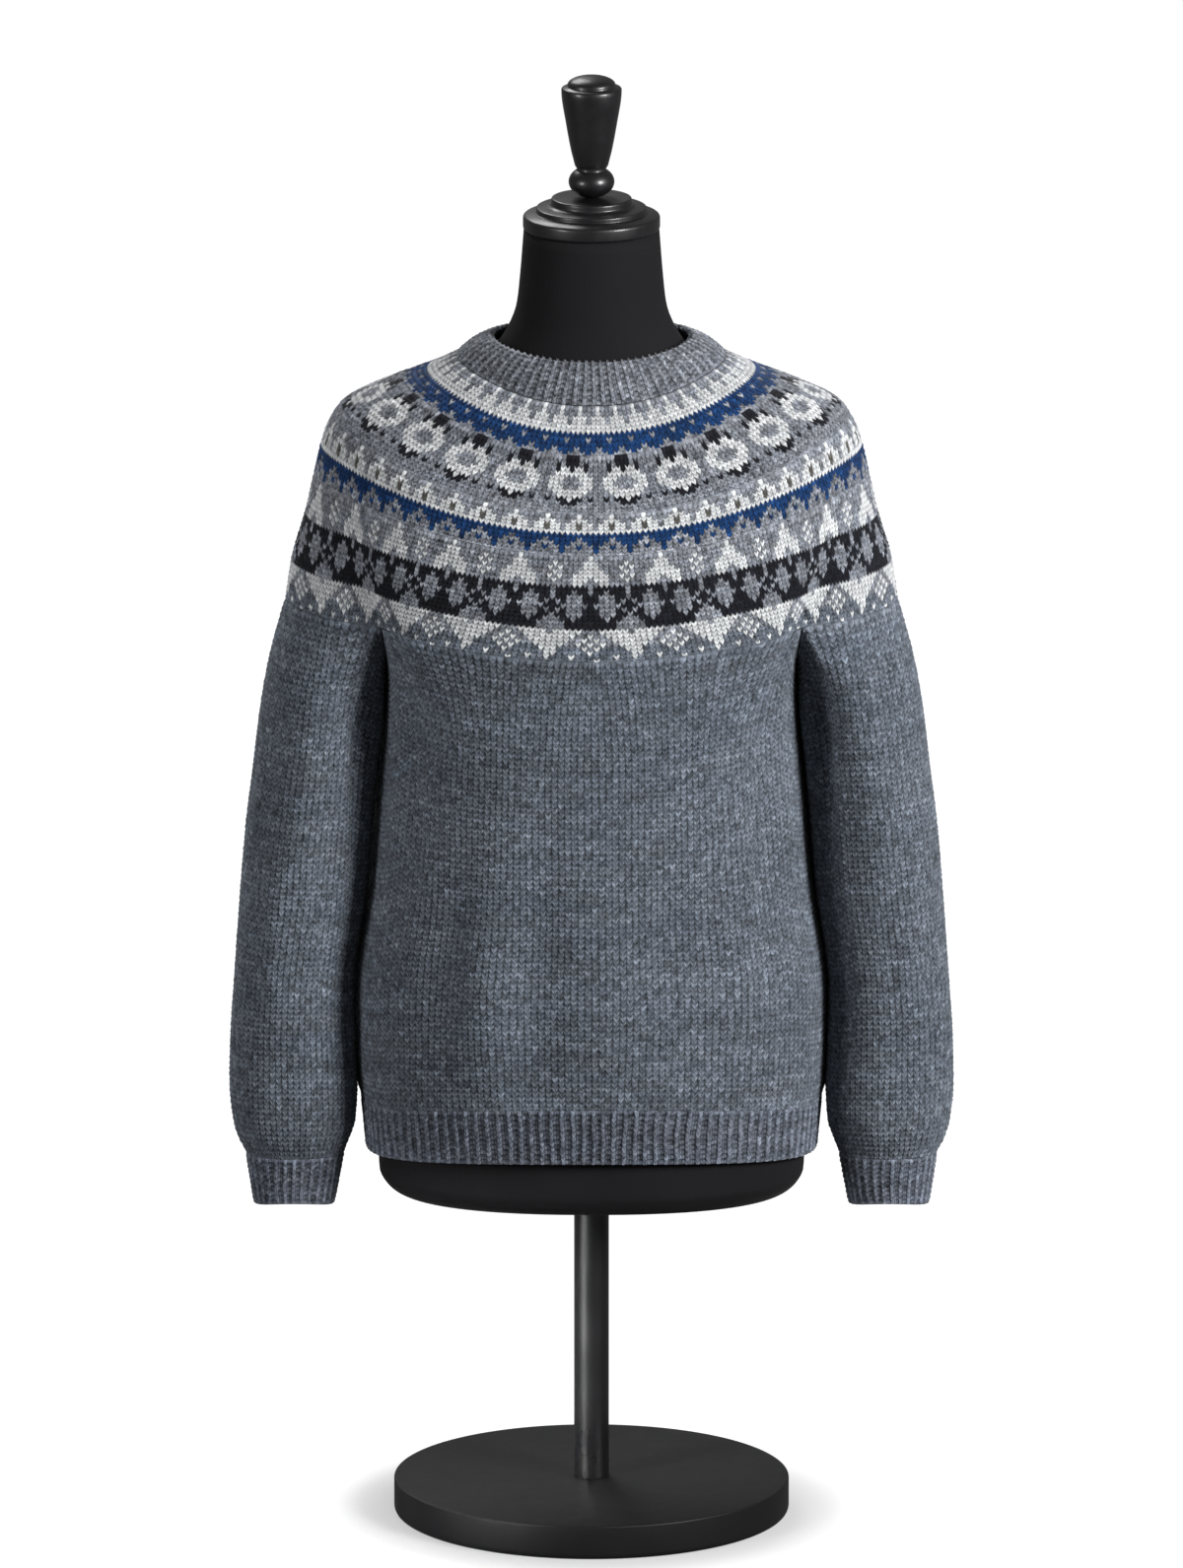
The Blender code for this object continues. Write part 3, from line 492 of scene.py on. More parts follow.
@dataclass
class BodySurface(Surface):
    """The body tube, from the yoke's edge and the underarm seams down to the hem rib."""

    yoke: YokeSurface
    side_turn: float = math.radians(33.0)
    blend: float = 95.0
    blend_power: float = 1.7
    gap: float = 0.05
    underarm_x: float = 172.0
    underarm_z: float = 752.0
    underarm_sharpness: float = 2.5
    bulge: float = 8.5
    bulge_turn: float = 10.5
    bulge_spread: float = 9.0
    bulge_low: float = 352.0
    bulge_high: float = 756.0
    bulge_ease: float = 26.0
    samples: int = 720
    turns: np.ndarray = field(init=False)

    def __post_init__(self) -> None:
        """Spaces the stitch columns evenly round the hip."""
        angles = np.linspace(0, TURN, self.samples + 1) + math.pi / 2
        hip = self.section(np.full(angles.shape, 457.0), angles)
        self.turns = even_turns(hip, np.ones(angles.shape), angles, self.samples)

    def section(self, height: np.ndarray, angles: np.ndarray) -> np.ndarray:
        """Plan points of the level section at each height and angle."""
        heights = column(BODY_LEVELS, "height")
        read = [through(heights, column(BODY_LEVELS, name), height)
                for name in ("half_x", "front_y", "back_y", "square")]
        x, y, _ = plan(angles, *read)
        return np.stack([x, y], axis=-1)

    def underarm(self, s: np.ndarray) -> np.ndarray:
        """The right underarm seam, s from 0 at the front split to 1 at the back one.

        Its ends are on the yoke's edge, and between them it hangs as |2s - 1| to a power.

        Args:
            s: shares of the way along the seam.

        Returns:
            Points in millimetres.
        """
        edge = self.yoke.split_angle()
        one = np.ones(np.shape(s))
        front = self.yoke.ring(one, -edge * one)
        back = self.yoke.ring(one, edge * one)
        ends = front * (1 - s)[..., None] + back * s[..., None]
        low = np.stack([self.underarm_x * one, ends[..., 1], self.underarm_z * one], axis=-1)
        sag = (1 - np.abs(2 * s - 1) ** self.underarm_sharpness)[..., None]
        return ends * (1 - sag) + low * sag

    def top(self, angles: np.ndarray) -> np.ndarray:
        """The tube's upper edge: yoke at front and back, underarm seam at both sides."""
        angles = wrap_angle(angles)
        edge = self.yoke.split_angle()
        turn = self.side_turn
        one = np.ones(angles.shape)
        ahead = wrap_angle(angles + math.pi / 2)
        across = ahead / (math.pi / 2 - turn) * (math.pi / 2 - edge)
        front = self.yoke.ring(one, across - math.pi / 2)
        behind = wrap_angle(angles - math.pi / 2) / (math.pi / 2 - turn) * (math.pi / 2 - edge)
        back = self.yoke.ring(one, behind + math.pi / 2)
        right = self.underarm(np.clip((angles + turn) / (2 * turn), 0, 1))
        mirrored = wrap_angle(math.pi - angles)
        left = self.underarm(np.clip((mirrored + turn) / (2 * turn), 0, 1))
        left = left * np.array([-1.0, 1.0, 1.0])
        points = np.where((angles < 0)[..., None], front, back)
        points = np.where((np.abs(angles) < turn)[..., None], right, points)
        points = np.where((np.abs(mirrored) < turn)[..., None], left, points)
        return points - np.array([0.0, 0.0, self.gap])

    def side_bulge(self, angles: np.ndarray, height: np.ndarray) -> np.ndarray:
        """How far the body swells towards each sleeve, just behind the sleeve's middle.

        Args:
            angles: section angles.
            height: heights in millimetres.

        Returns:
            Millimetres outwards: a bell across the angle, eased in at both ends of its height.
        """
        degrees = np.degrees(np.arcsin(np.sin(angles)))
        low = np.clip((height - self.bulge_low) / self.bulge_ease, 0, 1)
        high = np.clip((self.bulge_high - height) / self.bulge_ease, 0, 1)
        window = low * low * (3 - 2 * low) * high * high * (3 - 2 * high)
        return self.bulge * window * bump_at(degrees, self.bulge_turn, self.bulge_spread)

    def angle(self, q: np.ndarray) -> np.ndarray:
        """Section angle of a share of the way round; q of 0 is the middle of the back."""
        laps = np.floor(q)
        return np.interp(q - laps, np.linspace(0, 1, self.samples + 1), self.turns) + laps * TURN

    def at(self, q: np.ndarray, v: np.ndarray) -> np.ndarray:
        """Points of the tube: level sections, eased to the upper edge over the blend's height."""
        q, v = np.broadcast_arrays(np.asarray(q, float), np.asarray(v, float))
        angles = self.angle(q)
        top = self.top(angles)
        _, _, share = plan(angles, RIB_TOP.side_x, RIB_TOP.front_y, RIB_TOP.back_y, RIB_TOP.square)
        end = np.where(np.sin(angles) < 0, RIB_TOP.front_z, RIB_TOP.back_z)
        low = RIB_TOP.side_z + (end - RIB_TOP.side_z) * share ** 2
        z = top[..., 2] + (low - top[..., 2]) * v
        fade = np.clip(1 - (top[..., 2] - z) / self.blend, 0, 1)[..., None] ** self.blend_power
        level = self.section(z, angles)
        level = level + (top[..., :2] - self.section(top[..., 2], angles)) * fade
        out = (folded(BODY_FOLDS, angles, z) + self.side_bulge(angles, z))[..., None] * (1 - fade)
        return np.concatenate([level + unit(level) * out, z[..., None]], axis=-1)


@dataclass
class HemSurface(Surface):
    """The hem rib: from the body's lower edge to the open hem."""

    body: BodySurface
    gap: float = 0.05

    def at(self, q: np.ndarray, v: np.ndarray) -> np.ndarray:
        """Points on straight lines from the body's edge to the hem ring."""
        q, v = np.broadcast_arrays(np.asarray(q, float), np.asarray(v, float))
        top = self.body.at(q, np.ones(q.shape)) - np.array([0.0, 0.0, self.gap])
        x, y, share = plan(self.body.angle(q), HEM.side_x, HEM.front_y, HEM.back_y, HEM.square)
        end = np.where(y < 0, HEM.front_z, HEM.back_z)
        foot = np.stack([x, y, HEM.side_z + (end - HEM.side_z) * share ** 2], axis=-1)
        return top * (1 - v)[..., None] + foot * v[..., None]


@dataclass
class SleeveSurface(Surface):
    """The sleeve at +X, from the yoke's outer arc and the underarm seam to the cuff."""

    body: BodySurface
    outside_turn: float = math.radians(118.0)
    blend: float = 90.0
    blend_power: float = 1.7
    square: float = 2.15
    cuff_top: float = 316.0
    samples: int = 720
    turns: np.ndarray = field(init=False)

    def __post_init__(self) -> None:
        """Spaces the stitch columns evenly round the forearm."""
        angles = np.linspace(0, TURN, self.samples + 1) + math.pi
        arm = self.section(np.full(angles.shape, 419.0), angles)
        self.turns = even_turns(arm, np.ones(angles.shape), angles, self.samples)

    def middle(self, height: np.ndarray) -> np.ndarray:
        """The middle of the level section, in plan."""
        heights = column(SLEEVE_LEVELS, "height")
        inner = through(heights, column(SLEEVE_LEVELS, "inner_x"), height)
        outer = through(heights, column(SLEEVE_LEVELS, "outer_x"), height)
        middle_y = through(heights, column(SLEEVE_LEVELS, "middle_y"), height)
        return np.stack([(inner + outer) / 2, middle_y], axis=-1)

    def section(self, height: np.ndarray, angles: np.ndarray) -> np.ndarray:
        """Plan points of the level section at each height and angle."""
        heights = column(SLEEVE_LEVELS, "height")
        inner = through(heights, column(SLEEVE_LEVELS, "inner_x"), height)
        outer = through(heights, column(SLEEVE_LEVELS, "outer_x"), height)
        depth = through(heights, column(SLEEVE_LEVELS, "half_depth"), height)
        x, y, _ = plan(angles, (outer - inner) / 2, -depth, depth, self.square)
        return np.stack([x, y], axis=-1) + self.middle(height)

    def top(self, angles: np.ndarray) -> np.ndarray:
        """The tube's upper edge: the yoke's outer arc, then back along the underarm seam."""
        angles = wrap_angle(angles)
        edge = self.body.yoke.split_angle()
        arc = self.body.yoke.ring(np.ones(angles.shape), angles / self.outside_turn * edge)
        under = wrap_angle(angles - math.pi) / (math.pi - self.outside_turn)
        seam = self.body.underarm(np.clip((1 - under) / 2, 0, 1))
        points = np.where((np.abs(angles) < self.outside_turn)[..., None], arc, seam)
        return points - np.array([0.0, 0.0, self.body.gap])

    def angle(self, q: np.ndarray) -> np.ndarray:
        """Section angle of a share of the way round; q of 0 is the underarm."""
        laps = np.floor(q)
        return np.interp(q - laps, np.linspace(0, 1, self.samples + 1), self.turns) + laps * TURN

    def at(self, q: np.ndarray, v: np.ndarray) -> np.ndarray:
        """Points of the tube: level sections, eased to the upper edge over the blend's height."""
        q, v = np.broadcast_arrays(np.asarray(q, float), np.asarray(v, float))
        angles = self.angle(q)
        top = self.top(angles)
        z = top[..., 2] + (self.cuff_top - top[..., 2]) * v
        fade = np.clip(1 - (top[..., 2] - z) / self.blend, 0, 1)[..., None] ** self.blend_power
        level = self.section(z, angles)
        away = unit(level - self.middle(z))
        level = level + (top[..., :2] - self.section(top[..., 2], angles)) * fade
        out = folded(SLEEVE_FOLDS, wrap_angle(angles), z)[..., None] * (1 - fade)
        return np.concatenate([level + away * out, z[..., None]], axis=-1)


@dataclass
class CuffSurface(Surface):
    """The cuff at +X, from the sleeve's end to the open wrist, a little higher at the front."""

    sleeve: SleeveSurface
    foot: float = 271.0
    front_rise: float = 5.0
    gap: float = 0.05

    def at(self, q: np.ndarray, v: np.ndarray) -> np.ndarray:
        """Points on straight lines from the sleeve's end to the wrist."""
        q, v = np.broadcast_arrays(np.asarray(q, float), np.asarray(v, float))
        angles = self.sleeve.angle(q)
        top = self.sleeve.at(q, np.ones(q.shape)) - np.array([0.0, 0.0, self.gap])
        z = self.foot + self.front_rise * np.clip(-np.sin(angles), 0, 1) ** 2
        foot = np.concatenate([self.sleeve.section(z, angles), z[..., None]], axis=-1)
        return top * (1 - v)[..., None] + foot * v[..., None]


@dataclass
class Mirrored(Surface):
    """The same tube on the other side of X = 0."""

    source: Surface

    def at(self, q: np.ndarray, v: np.ndarray) -> np.ndarray:
        """Mirrored points, taken the other way round so that the outside stays outside."""
        return self.source.at(1 - np.asarray(q, float), v) * np.array([-1.0, 1.0, 1.0])


# ---------------------------------------------------------------- yarns and charts
@dataclass(frozen=True)
class Yarn:
    """A wool yarn: its colour, how much its stitches and streaks differ, and its speckle."""

    colour: str
    stitch_change: float
    streak_change: float
    speckle: float


YARNS = {
    "s": Yarn("646b75", 0.17, 0.09, 0.62),
    "g": Yarn("7e828a", 0.17, 0.07, 0.70),
    "w": Yarn("cdcfd1", 0.09, 0.03, 0.26),
    "b": Yarn("123562", 0.20, 0.08, 0.45),
    "k": Yarn("17181f", 0.22, 0.06, 0.35),
    "n": Yarn("55534f", 0.12, 0.03, 0.35),
    "r": Yarn("6b717d", 0.15, 0.06, 0.70),
}
YARN_KEYS = "".join(YARNS)


@dataclass(frozen=True)
class Chart:
    """Courses of one repeat, top to bottom. middle is the column on the repeat's axis."""

    courses: tuple[str, ...]
    middle: int = 0

    def codes(self, repeats: int, phase: float) -> np.ndarray:
        """Yarn numbers of every stitch round the yoke.

        Args:
            repeats: how many repeats go round.
            phase: how far into a repeat the round starts, as a share of the repeat.

        Returns:
            One row for each course and one column for each stitch.
        """
        plain = [row.replace(".", "g") for row in self.courses]
        grid = np.array([[YARN_KEYS.index(c) for c in row] for row in plain])
        width = grid.shape[1]
        return np.roll(np.tile(grid, (1, repeats)), -self.middle - round(phase * width), axis=1)


NECK_CHART = Chart((
    "w...w...", "w...w...", "ww.www.w", "ww.www.w", "wwwwwwww", "wwwwwwww",
    "bbbbbbbb", "bb.bbb.b", "bbbbbbbb", ".bbb.bbb", "..b...b.",
))
ROSETTE_CHART = Chart((
    "....kkk....",
    "..k.kkk.k..",
    "..kwwkwwk..",
    "..wwwwwww..",
    ".www...www.",
    ".ww.....ww.",
    ".www...www.",
    "..wwwwwww..",
    "...wwwww...",
    ".k.kkwkk.k.",
    "....kkk....",
    "...........",
    "...........",
    "...........",
), middle=5)
PEAK_CHART = Chart((
    "...w.....w..",
    "..www...www.",
    ".wwnww.wwnww",
    ".wwnww.wwnww",
    "wwwwwwwwwwww",
    "bbbbbbbbbbbb",
    "bbb.bbbbb.bb",
    "bb...bbb...b",
    "b..b..b..b..",
    "b.....b.....",
    "............",
))
STAR_CHART = Chart((
    ".......w......",
    "w.....www.....",
    ".w....www....w",
    "w....wwwww....",
    ".w..wwwwwww..w",
    "w...www.www...",
    "....ww...ww...",
    ".kkkkkk.kkkkkk",
    ".kkk.kk.kk.kkk",
    ".kk...kkk...kk",
    "k.k...kkk...k.",
    "kk.....k.....k",
    "k.k...kkk...k.",
    ".kk...kkk...kk",
    "..kk.kkkkk.kk.",
    "...kkkkkkkkk..",
    "...kkkkkkkkk..",
    ".wwwww...wwwww",
    "wwwww..w..wwww",
    "wwww..w.w..www",
    "www..w.w.w..ww",
    "wwssssw.wssssw",
    "wwssssswssssss",
    "wssswsssssswss",
    "sssssssswsssss",
))


# ---------------------------------------------------------------- knitting
@dataclass(frozen=True)
class Stitch:
    """One plain stitch in millimetres of relief, and in shares of its width and course.

    A stitch is a V of two legs that slant from its outer top to its middle, where the points of
    the Vs hang by centre_drop into the next course. Valleys run between columns, between the two
    legs, and slanting between the legs of one course and the next. A leg is highest at its foot.
    last_at are the heights of shoulder and foot in a zone's last course, which ends level.

    second_leg is the relief of the right leg as a share of the left leg's. A zone's end lines lie
    in by rim, and by rim_centre of it at the centre points. They keep end_level of a rib's lift
    and sink, and the end courses lose calm of it. bar is the relief of a purl bar, bar_shoulder_at
    and bar_foot_at are its two points across and down, and purl_shade is how much painted shade
    darkens it.
    """

    edge: float = -0.85
    centre: float = -0.85
    shoulder: float = 0.50
    foot: float = 0.85
    shoulder_at: tuple[float, float] = (0.13, 0.66)
    foot_at: tuple[float, float] = (0.37, 1.06)
    last_at: tuple[float, float] = (0.52, 0.86)
    centre_drop: float = 0.80
    second_leg: float = 0.62
    rim: float = 0.35
    rim_centre: float = 0.6
    end_level: float = 0.25
    calm: float = 0.5
    bar: float = 0.9
    bar_shoulder_at: tuple[float, float] = (0.26, 0.34)
    bar_foot_at: tuple[float, float] = (0.36, 0.66)
    purl_shade: float = 0.34


@dataclass(frozen=True)
class Height:
    """How high each kind of point counts for the painted shade: 0 in a valley, 1 on a leg's foot.
    """

    end: float = 0.35
    centre: float = 0.3
    shoulder: float = 0.8
    bar: float = 0.75


@dataclass(frozen=True)
class Uneven:
    """Spread of the small differences between stitches.

    drift and lean are shares of a column's width, size of a leg's relief and tone of its light.
    """

    drift: float = 0.04
    lean: float = 0.035
    size: float = 0.16
    tone: float = 0.05


# Ribs are modelled with less relief than plain knitting.
RIB_STITCH = Stitch(edge=-0.62, centre=-0.62, shoulder=0.36, foot=0.62, bar=0.62)


@dataclass
class Zone:
    """Courses with one stitch count.

    codes has a yarn number for each stitch, edges the left edge of each column as a share of the
    round (one more than the columns) and courses the v of each course line (one more than the
    rows). purl marks the purl columns. Knit columns stand out by lift and purl columns lie in by
    sink, in millimetres. drift is how far columns wander, as a share of their width.
    """

    codes: np.ndarray
    edges: np.ndarray
    courses: np.ndarray
    purl: np.ndarray
    lift: float = 0.0
    sink: float = 0.0
    drift: float = 0.04


@dataclass
class Points:
    """Vertex numbers on a grid, with the stitch and course coordinates of each."""

    number: np.ndarray
    across: np.ndarray
    down: np.ndarray

    def rows(self, start: int, stop: int) -> "Points":
        """Some rows of the grid."""
        return Points(self.number[start:stop], self.across[start:stop], self.down[start:stop])


def even_zone(codes: np.ndarray, top: float, bottom: float, start: float = 0.0) -> Zone:
    """A zone of columns and courses of equal size in the tube's own shares.

    Args:
        codes: yarn numbers.
        top: v of the first course line.
        bottom: v of the last course line.
        start: where round the tube the first column starts.

    Returns:
        The zone.
    """
    rows, columns = codes.shape
    return Zone(codes, start + np.linspace(0, 1, columns + 1), np.linspace(top, bottom, rows + 1),
                np.zeros(columns, bool))


def rib_zone(ribs: int, rows: int, top: float, bottom: float, knit_share: float,
             rise: float, sink: float, code: str = "r") -> Zone:
    """A zone of one-by-one rib: raised knit columns between narrow sunk purl columns.

    Args:
        ribs: how many ribs go round.
        rows: how many courses.
        top: v of the first course line.
        bottom: v of the last course line.
        knit_share: the knit column's share of a rib's width.
        rise: millimetres that a knit column stands out.
        sink: millimetres that a purl column lies in.
        code: the yarn.

    Returns:
        The zone.
    """
    start = np.arange(ribs) / ribs
    edges = np.stack([start, start + knit_share / ribs], axis=1).ravel()
    purl = np.tile([False, True], ribs)
    codes = np.full((rows, 2 * ribs), YARN_KEYS.index(code))
    return Zone(codes, np.append(edges, 1.0), np.linspace(top, bottom, rows + 1), purl, rise, sink,
                0.10)


def blurred(noise: np.ndarray, across: float, down: float) -> np.ndarray:
    """Noise made smooth by a bell in both directions through its spectrum, with spread of 1.

    Args:
        noise: plain noise.
        across: the bell's reach along a course, in stitches.
        down: the bell's reach between courses.

    Returns:
        Smooth noise.
    """
    rows, columns = noise.shape
    f_down = np.fft.fftfreq(rows)[:, None] * down
    f_across = np.fft.rfftfreq(columns)[None] * across
    soft = np.fft.irfft2(np.fft.rfft2(noise) * np.exp(-9.0 * (f_down ** 2 + f_across ** 2)),
                         s=noise.shape)
    return soft / max(soft.std(), 1e-9)


# How far the yarn's streaks reach across and down, in stitches and courses.
LONG_STREAK = (7.0, 0.8)
BROAD_STREAK = (22.0, 5.0)
TINT_STREAK = (4.0, 0.8)


class KnitMesh:
    """Gathers vertices and triangles of one knitted shell, as whole arrays."""

    def __init__(self, surface: Surface, seed: int, stitch: Stitch = Stitch()) -> None:
        """Starts an empty shell.

        Args:
            surface: the tube that the knitting follows.
            seed: seed of the stitches' small differences.
            stitch: the stitch's shape.
        """
        self.surface = surface
        self.stitch = stitch
        self.noise = np.random.default_rng(seed)
        self.points: list[np.ndarray] = []
        self.relief: list[np.ndarray] = []
        self.faces: list[np.ndarray] = []
        self.colours: list[np.ndarray] = []
        self.layout: list[np.ndarray] = []
        self.count = 0

    def place(self, q: np.ndarray, v: np.ndarray, depth: np.ndarray, relief: np.ndarray,
              across: np.ndarray, down: np.ndarray) -> Points:
        """Adds points at q and v, moved along the normal, and numbers them."""
        q, v, depth, relief, across, down = (
            a.astype(float) for a in np.broadcast_arrays(q, v, depth, relief, across, down))
        made = self.surface.at(q, v) + self.surface.normals(q, v) * depth[..., None]
        self.points.append(made.reshape(-1, 3))
        self.relief.append(relief.ravel())
        numbers = np.arange(q.size).reshape(q.shape) + self.count
        self.count += q.size
        return Points(numbers, across, down)

    def add_faces(self, corners: tuple[Points, ...], colours: np.ndarray) -> None:
        """Adds one triangle for each grid place, counterclockwise seen from outside.

        Args:
            corners: three grids of the same shape.
            colours: linear colour of each triangle.
        """
        numbers = np.stack([p.number.ravel() for p in corners], axis=1)
        self.faces.append(numbers)
        across = np.stack([p.across.ravel() for p in corners], axis=1)
        down = np.stack([p.down.ravel() for p in corners], axis=1)
        self.layout.append(np.stack([across, down], axis=2))
        colours = np.broadcast_to(colours, (*corners[0].number.shape, 4)).reshape(-1, 4)
        self.colours.append(colours)

    def heather(self, codes: np.ndarray) -> np.ndarray:
        """Colour of every stitch: its yarn's, lighter or darker by stitch and by streak.

        Args:
            codes: yarn numbers.

        Returns:
            Linear colours, with the yarn's speckle in place of alpha.
        """
        yarns = [YARNS[key] for key in YARN_KEYS]
        base = np.array([linear(yarn.colour) for yarn in yarns])[codes]
        change = np.array([yarn.stitch_change for yarn in yarns])[codes]
        streak = np.array([yarn.streak_change for yarn in yarns])[codes]
        speckle = np.array([yarn.speckle for yarn in yarns])[codes]
        shape = codes.shape
        single = self.noise.standard_normal(shape)
        long = blurred(self.noise.standard_normal(shape), *LONG_STREAK)
        broad = blurred(self.noise.standard_normal(shape), *BROAD_STREAK)
        light = np.exp(change * single + streak * (0.85 * long + 0.4 * broad))
        warm = 1 + 0.010 * blurred(self.noise.standard_normal(shape), *TINT_STREAK) * (change > 0.1)
        tinted = base * light[..., None]
        tinted[..., 0] *= warm
        tinted[..., 2] /= warm
        tinted[..., 3] = speckle
        return np.clip(tinted, 0.0, 1.0)

    def knit(self, zone: Zone) -> tuple[Points, Points]:
        """Knits a zone: six triangles for each leg of each stitch.

        The course lines hold the valley points between stitches and the centre points of the Vs,
        which hang lower. Each leg has a shoulder and a foot between them.

        Args:
            zone: the courses to knit.

        Returns:
            The top and bottom rings, each with the valley and centre points in turn.
        """
        s, height, uneven = self.stitch, Height(), Uneven()
        rows, columns = zone.codes.shape
        left, right = zone.edges[:-1], zone.edges[1:]
        width = right - left
        number = np.arange(columns, dtype=float)
        lines = np.arange(rows + 1)[:, None]
        heights = np.append(np.diff(zone.courses), 0.0)[:, None]
        end = ((lines == 0) | (lines == rows)).astype(float)
        purl = zone.purl.astype(float)
        level = zone.lift * (1 - purl) - zone.sink * purl
        middle = (level + np.roll(level, 1)) / 2 - zone.sink * 0.5 * (purl != np.roll(purl, 1))
        drift = blurred(self.noise.standard_normal((rows + 1, columns)), 2.0, 3.0)
        drift = drift * zone.drift + self.noise.normal(0.0, uneven.drift, drift.shape)
        drift = drift * (1 - end) * width
        sway = (drift[:-1] + drift[1:]) / 2
        edge = self.place(left + drift, zone.courses[:, None],
                          (middle + s.edge) * (1 - end) + (middle * s.end_level - s.rim) * end,
                          height.end * end, number, lines)
        drop = s.centre_drop * (1 - end) * (1 - purl)
        at_end = level * s.end_level - s.rim * s.rim_centre
        centre = self.place((left + right) / 2 + drift, zone.courses[:, None] + heights * drop,
                            (level + s.centre) * (1 - end) + at_end * end,
                            height.centre * (1 - purl) + height.end * end + 0 * lines,
                            number + 0.5, lines + drop)
        nearby = Points(np.roll(edge.number, -1, axis=1), edge.across + 1, edge.down)
        colours = self.heather(zone.codes)
        size = 1 + self.noise.normal(0.0, uneven.size, (rows, columns))
        # Purl columns get lower relief values, which the wool paints as shade in their recesses.
        painted_purl_light = 1 - s.purl_shade * purl
        courses = zone.courses[:-1, None]
        step = np.diff(zone.courses)[:, None]
        order = np.arange(rows)[:, None]
        level = level * (1 - s.calm * ((order == 0) | (order == rows - 1)))
        for mirror in (False, True):
            size = size * (s.second_leg if mirror else 1.0)

            def across(plain: float, bar: float) -> np.ndarray:
                """Share of the width of a knit or a purl column, mirrored on its right side."""
                share = plain * (1 - purl) + bar * purl
                return 1 - share if mirror else share

            lean = self.noise.normal(0.0, uneven.lean, (rows, columns)) * width
            spot = across(s.shoulder_at[0], s.bar_shoulder_at[0])
            last = order == rows - 1
            low = np.where(last, s.last_at[0], s.shoulder_at[1])
            low = low * (1 - purl) + s.bar_shoulder_at[1] * purl
            raised = s.shoulder * (1 - purl) + s.bar * purl
            shade = height.shoulder * (1 - purl) + height.bar * purl
            shoulder = self.place(left + width * spot + lean + sway, courses + step * low,
                                  level + raised * size, shade * painted_purl_light + 0 * order,
                                  number + spot, order + low)
            spot = across(s.foot_at[0], s.bar_foot_at[0])
            low = np.where(last, s.last_at[1], s.foot_at[1])
            low = low * (1 - purl) + s.bar_foot_at[1] * purl
            raised = s.foot * (1 - purl) + s.bar * purl
            foot = self.place(left + width * spot + lean + sway, courses + step * low,
                              level + raised * size, painted_purl_light + 0 * order, number + spot, order + low)
            tone = np.exp(self.noise.normal(0.0, uneven.tone, (rows, columns, 1)))
            legs = np.concatenate([colours[..., :3] * tone, colours[..., 3:]], axis=-1)
            self.leg(nearby if mirror else edge, centre, shoulder, foot, legs, mirror)
        return self.ring(edge, centre, 0), self.ring(edge, centre, rows)

    def leg(self, edge: Points, centre: Points, shoulder: Points, foot: Points,
            colours: np.ndarray, mirror: bool) -> None:
        """Adds the triangles of the left or the right legs of a zone."""
        rows = shoulder.number.shape[0]
        a0, a1 = edge.rows(0, rows), edge.rows(1, rows + 1)
        c0, c1 = centre.rows(0, rows), centre.rows(1, rows + 1)
        for corners in ((a0, a1, shoulder), (a1, foot, shoulder), (a1, c1, foot),
                        (c1, c0, foot), (shoulder, foot, c0), (a0, shoulder, c0)):
            self.add_faces(corners[::-1] if mirror else corners, colours)

    def ring(self, edge: Points, centre: Points, row: int) -> Points:
        """One course line as a ring of valley and centre points in turn."""
        def woven(a: np.ndarray, b: np.ndarray) -> np.ndarray:
            """Two rows laid into one by turns."""
            return np.stack([a[row], b[row]], axis=1).ravel()
        return Points(woven(edge.number, centre.number), woven(edge.across, centre.across),
                      woven(edge.down, centre.down))

    def zip(self, upper: Points, lower: Points, colour: np.ndarray, turn: float = 1.0) -> None:
        """Joins two rings with any counts, by the order of their edges' middles round the tube.

        Args:
            upper: the ring above, or the inner ring at a top rim.
            lower: the ring below.
            colour: linear colour of the strip.
            turn: meant as the strip's stitch units in a round, for its layout; not used.
        """
        def middles(ring: Points) -> np.ndarray:
            """The place of each edge's middle, as a share of the round."""
            size = ring.number.size
            share = (ring.across - ring.across[0]) / (ring.across[-1] - ring.across[0])
            share = share * (1 - 1 / size)
            return (share + np.append(share[1:], 1.0)) / 2

        def pick(ring: Points, place: np.ndarray) -> Points:
            """Points of a closed ring by place, which may be one past its end."""
            size = ring.number.size
            return Points(ring.number[place % size], ring.across[place % size],
                          ring.down[place % size])
        top, low = middles(upper), middles(lower)
        i = np.arange(top.size)
        j = np.arange(low.size)
        self.add_faces((pick(upper, i), pick(lower, np.searchsorted(low, top)),
                        pick(upper, i + 1)), colour)
        self.add_faces((pick(lower, j), pick(lower, j + 1),
                        pick(upper, np.searchsorted(top, low, side="right"))), colour)

    def line(self, top: Points, bottom: Points, wall: float, columns: int, rows: int,
             stitches: int, courses: int, colour: np.ndarray, v_ends: tuple[float, float],
             power: float = 1.0) -> None:
        """Closes the shell with its inner wall, the tube moved in along its normals.

        Args:
            top: the outside's first ring.
            bottom: the outside's last ring.
            wall: thickness in millimetres.
            columns: columns of the inner wall.
            rows: rows of the inner wall.
            stitches: stitch units round the tube, for the layout.
            courses: course units down the tube, for the layout.
            colour: linear colour of the inside.
            v_ends: v of the first and last inner row.
            power: crowds the rows to the top when above 1.
        """
        share = np.linspace(0, 1, rows + 1)[:, None] ** power
        q = np.arange(columns)[None] / columns
        v = v_ends[0] + (v_ends[1] - v_ends[0]) * share
        # The inner wall gets a relief of -1, which the wool paints in its darkest valley shade.
        grid = self.place(q, v, -wall, -1.0, q * stitches, v * courses)
        beside = Points(np.roll(grid.number, -1, axis=1), grid.across + stitches / columns,
                        grid.down)

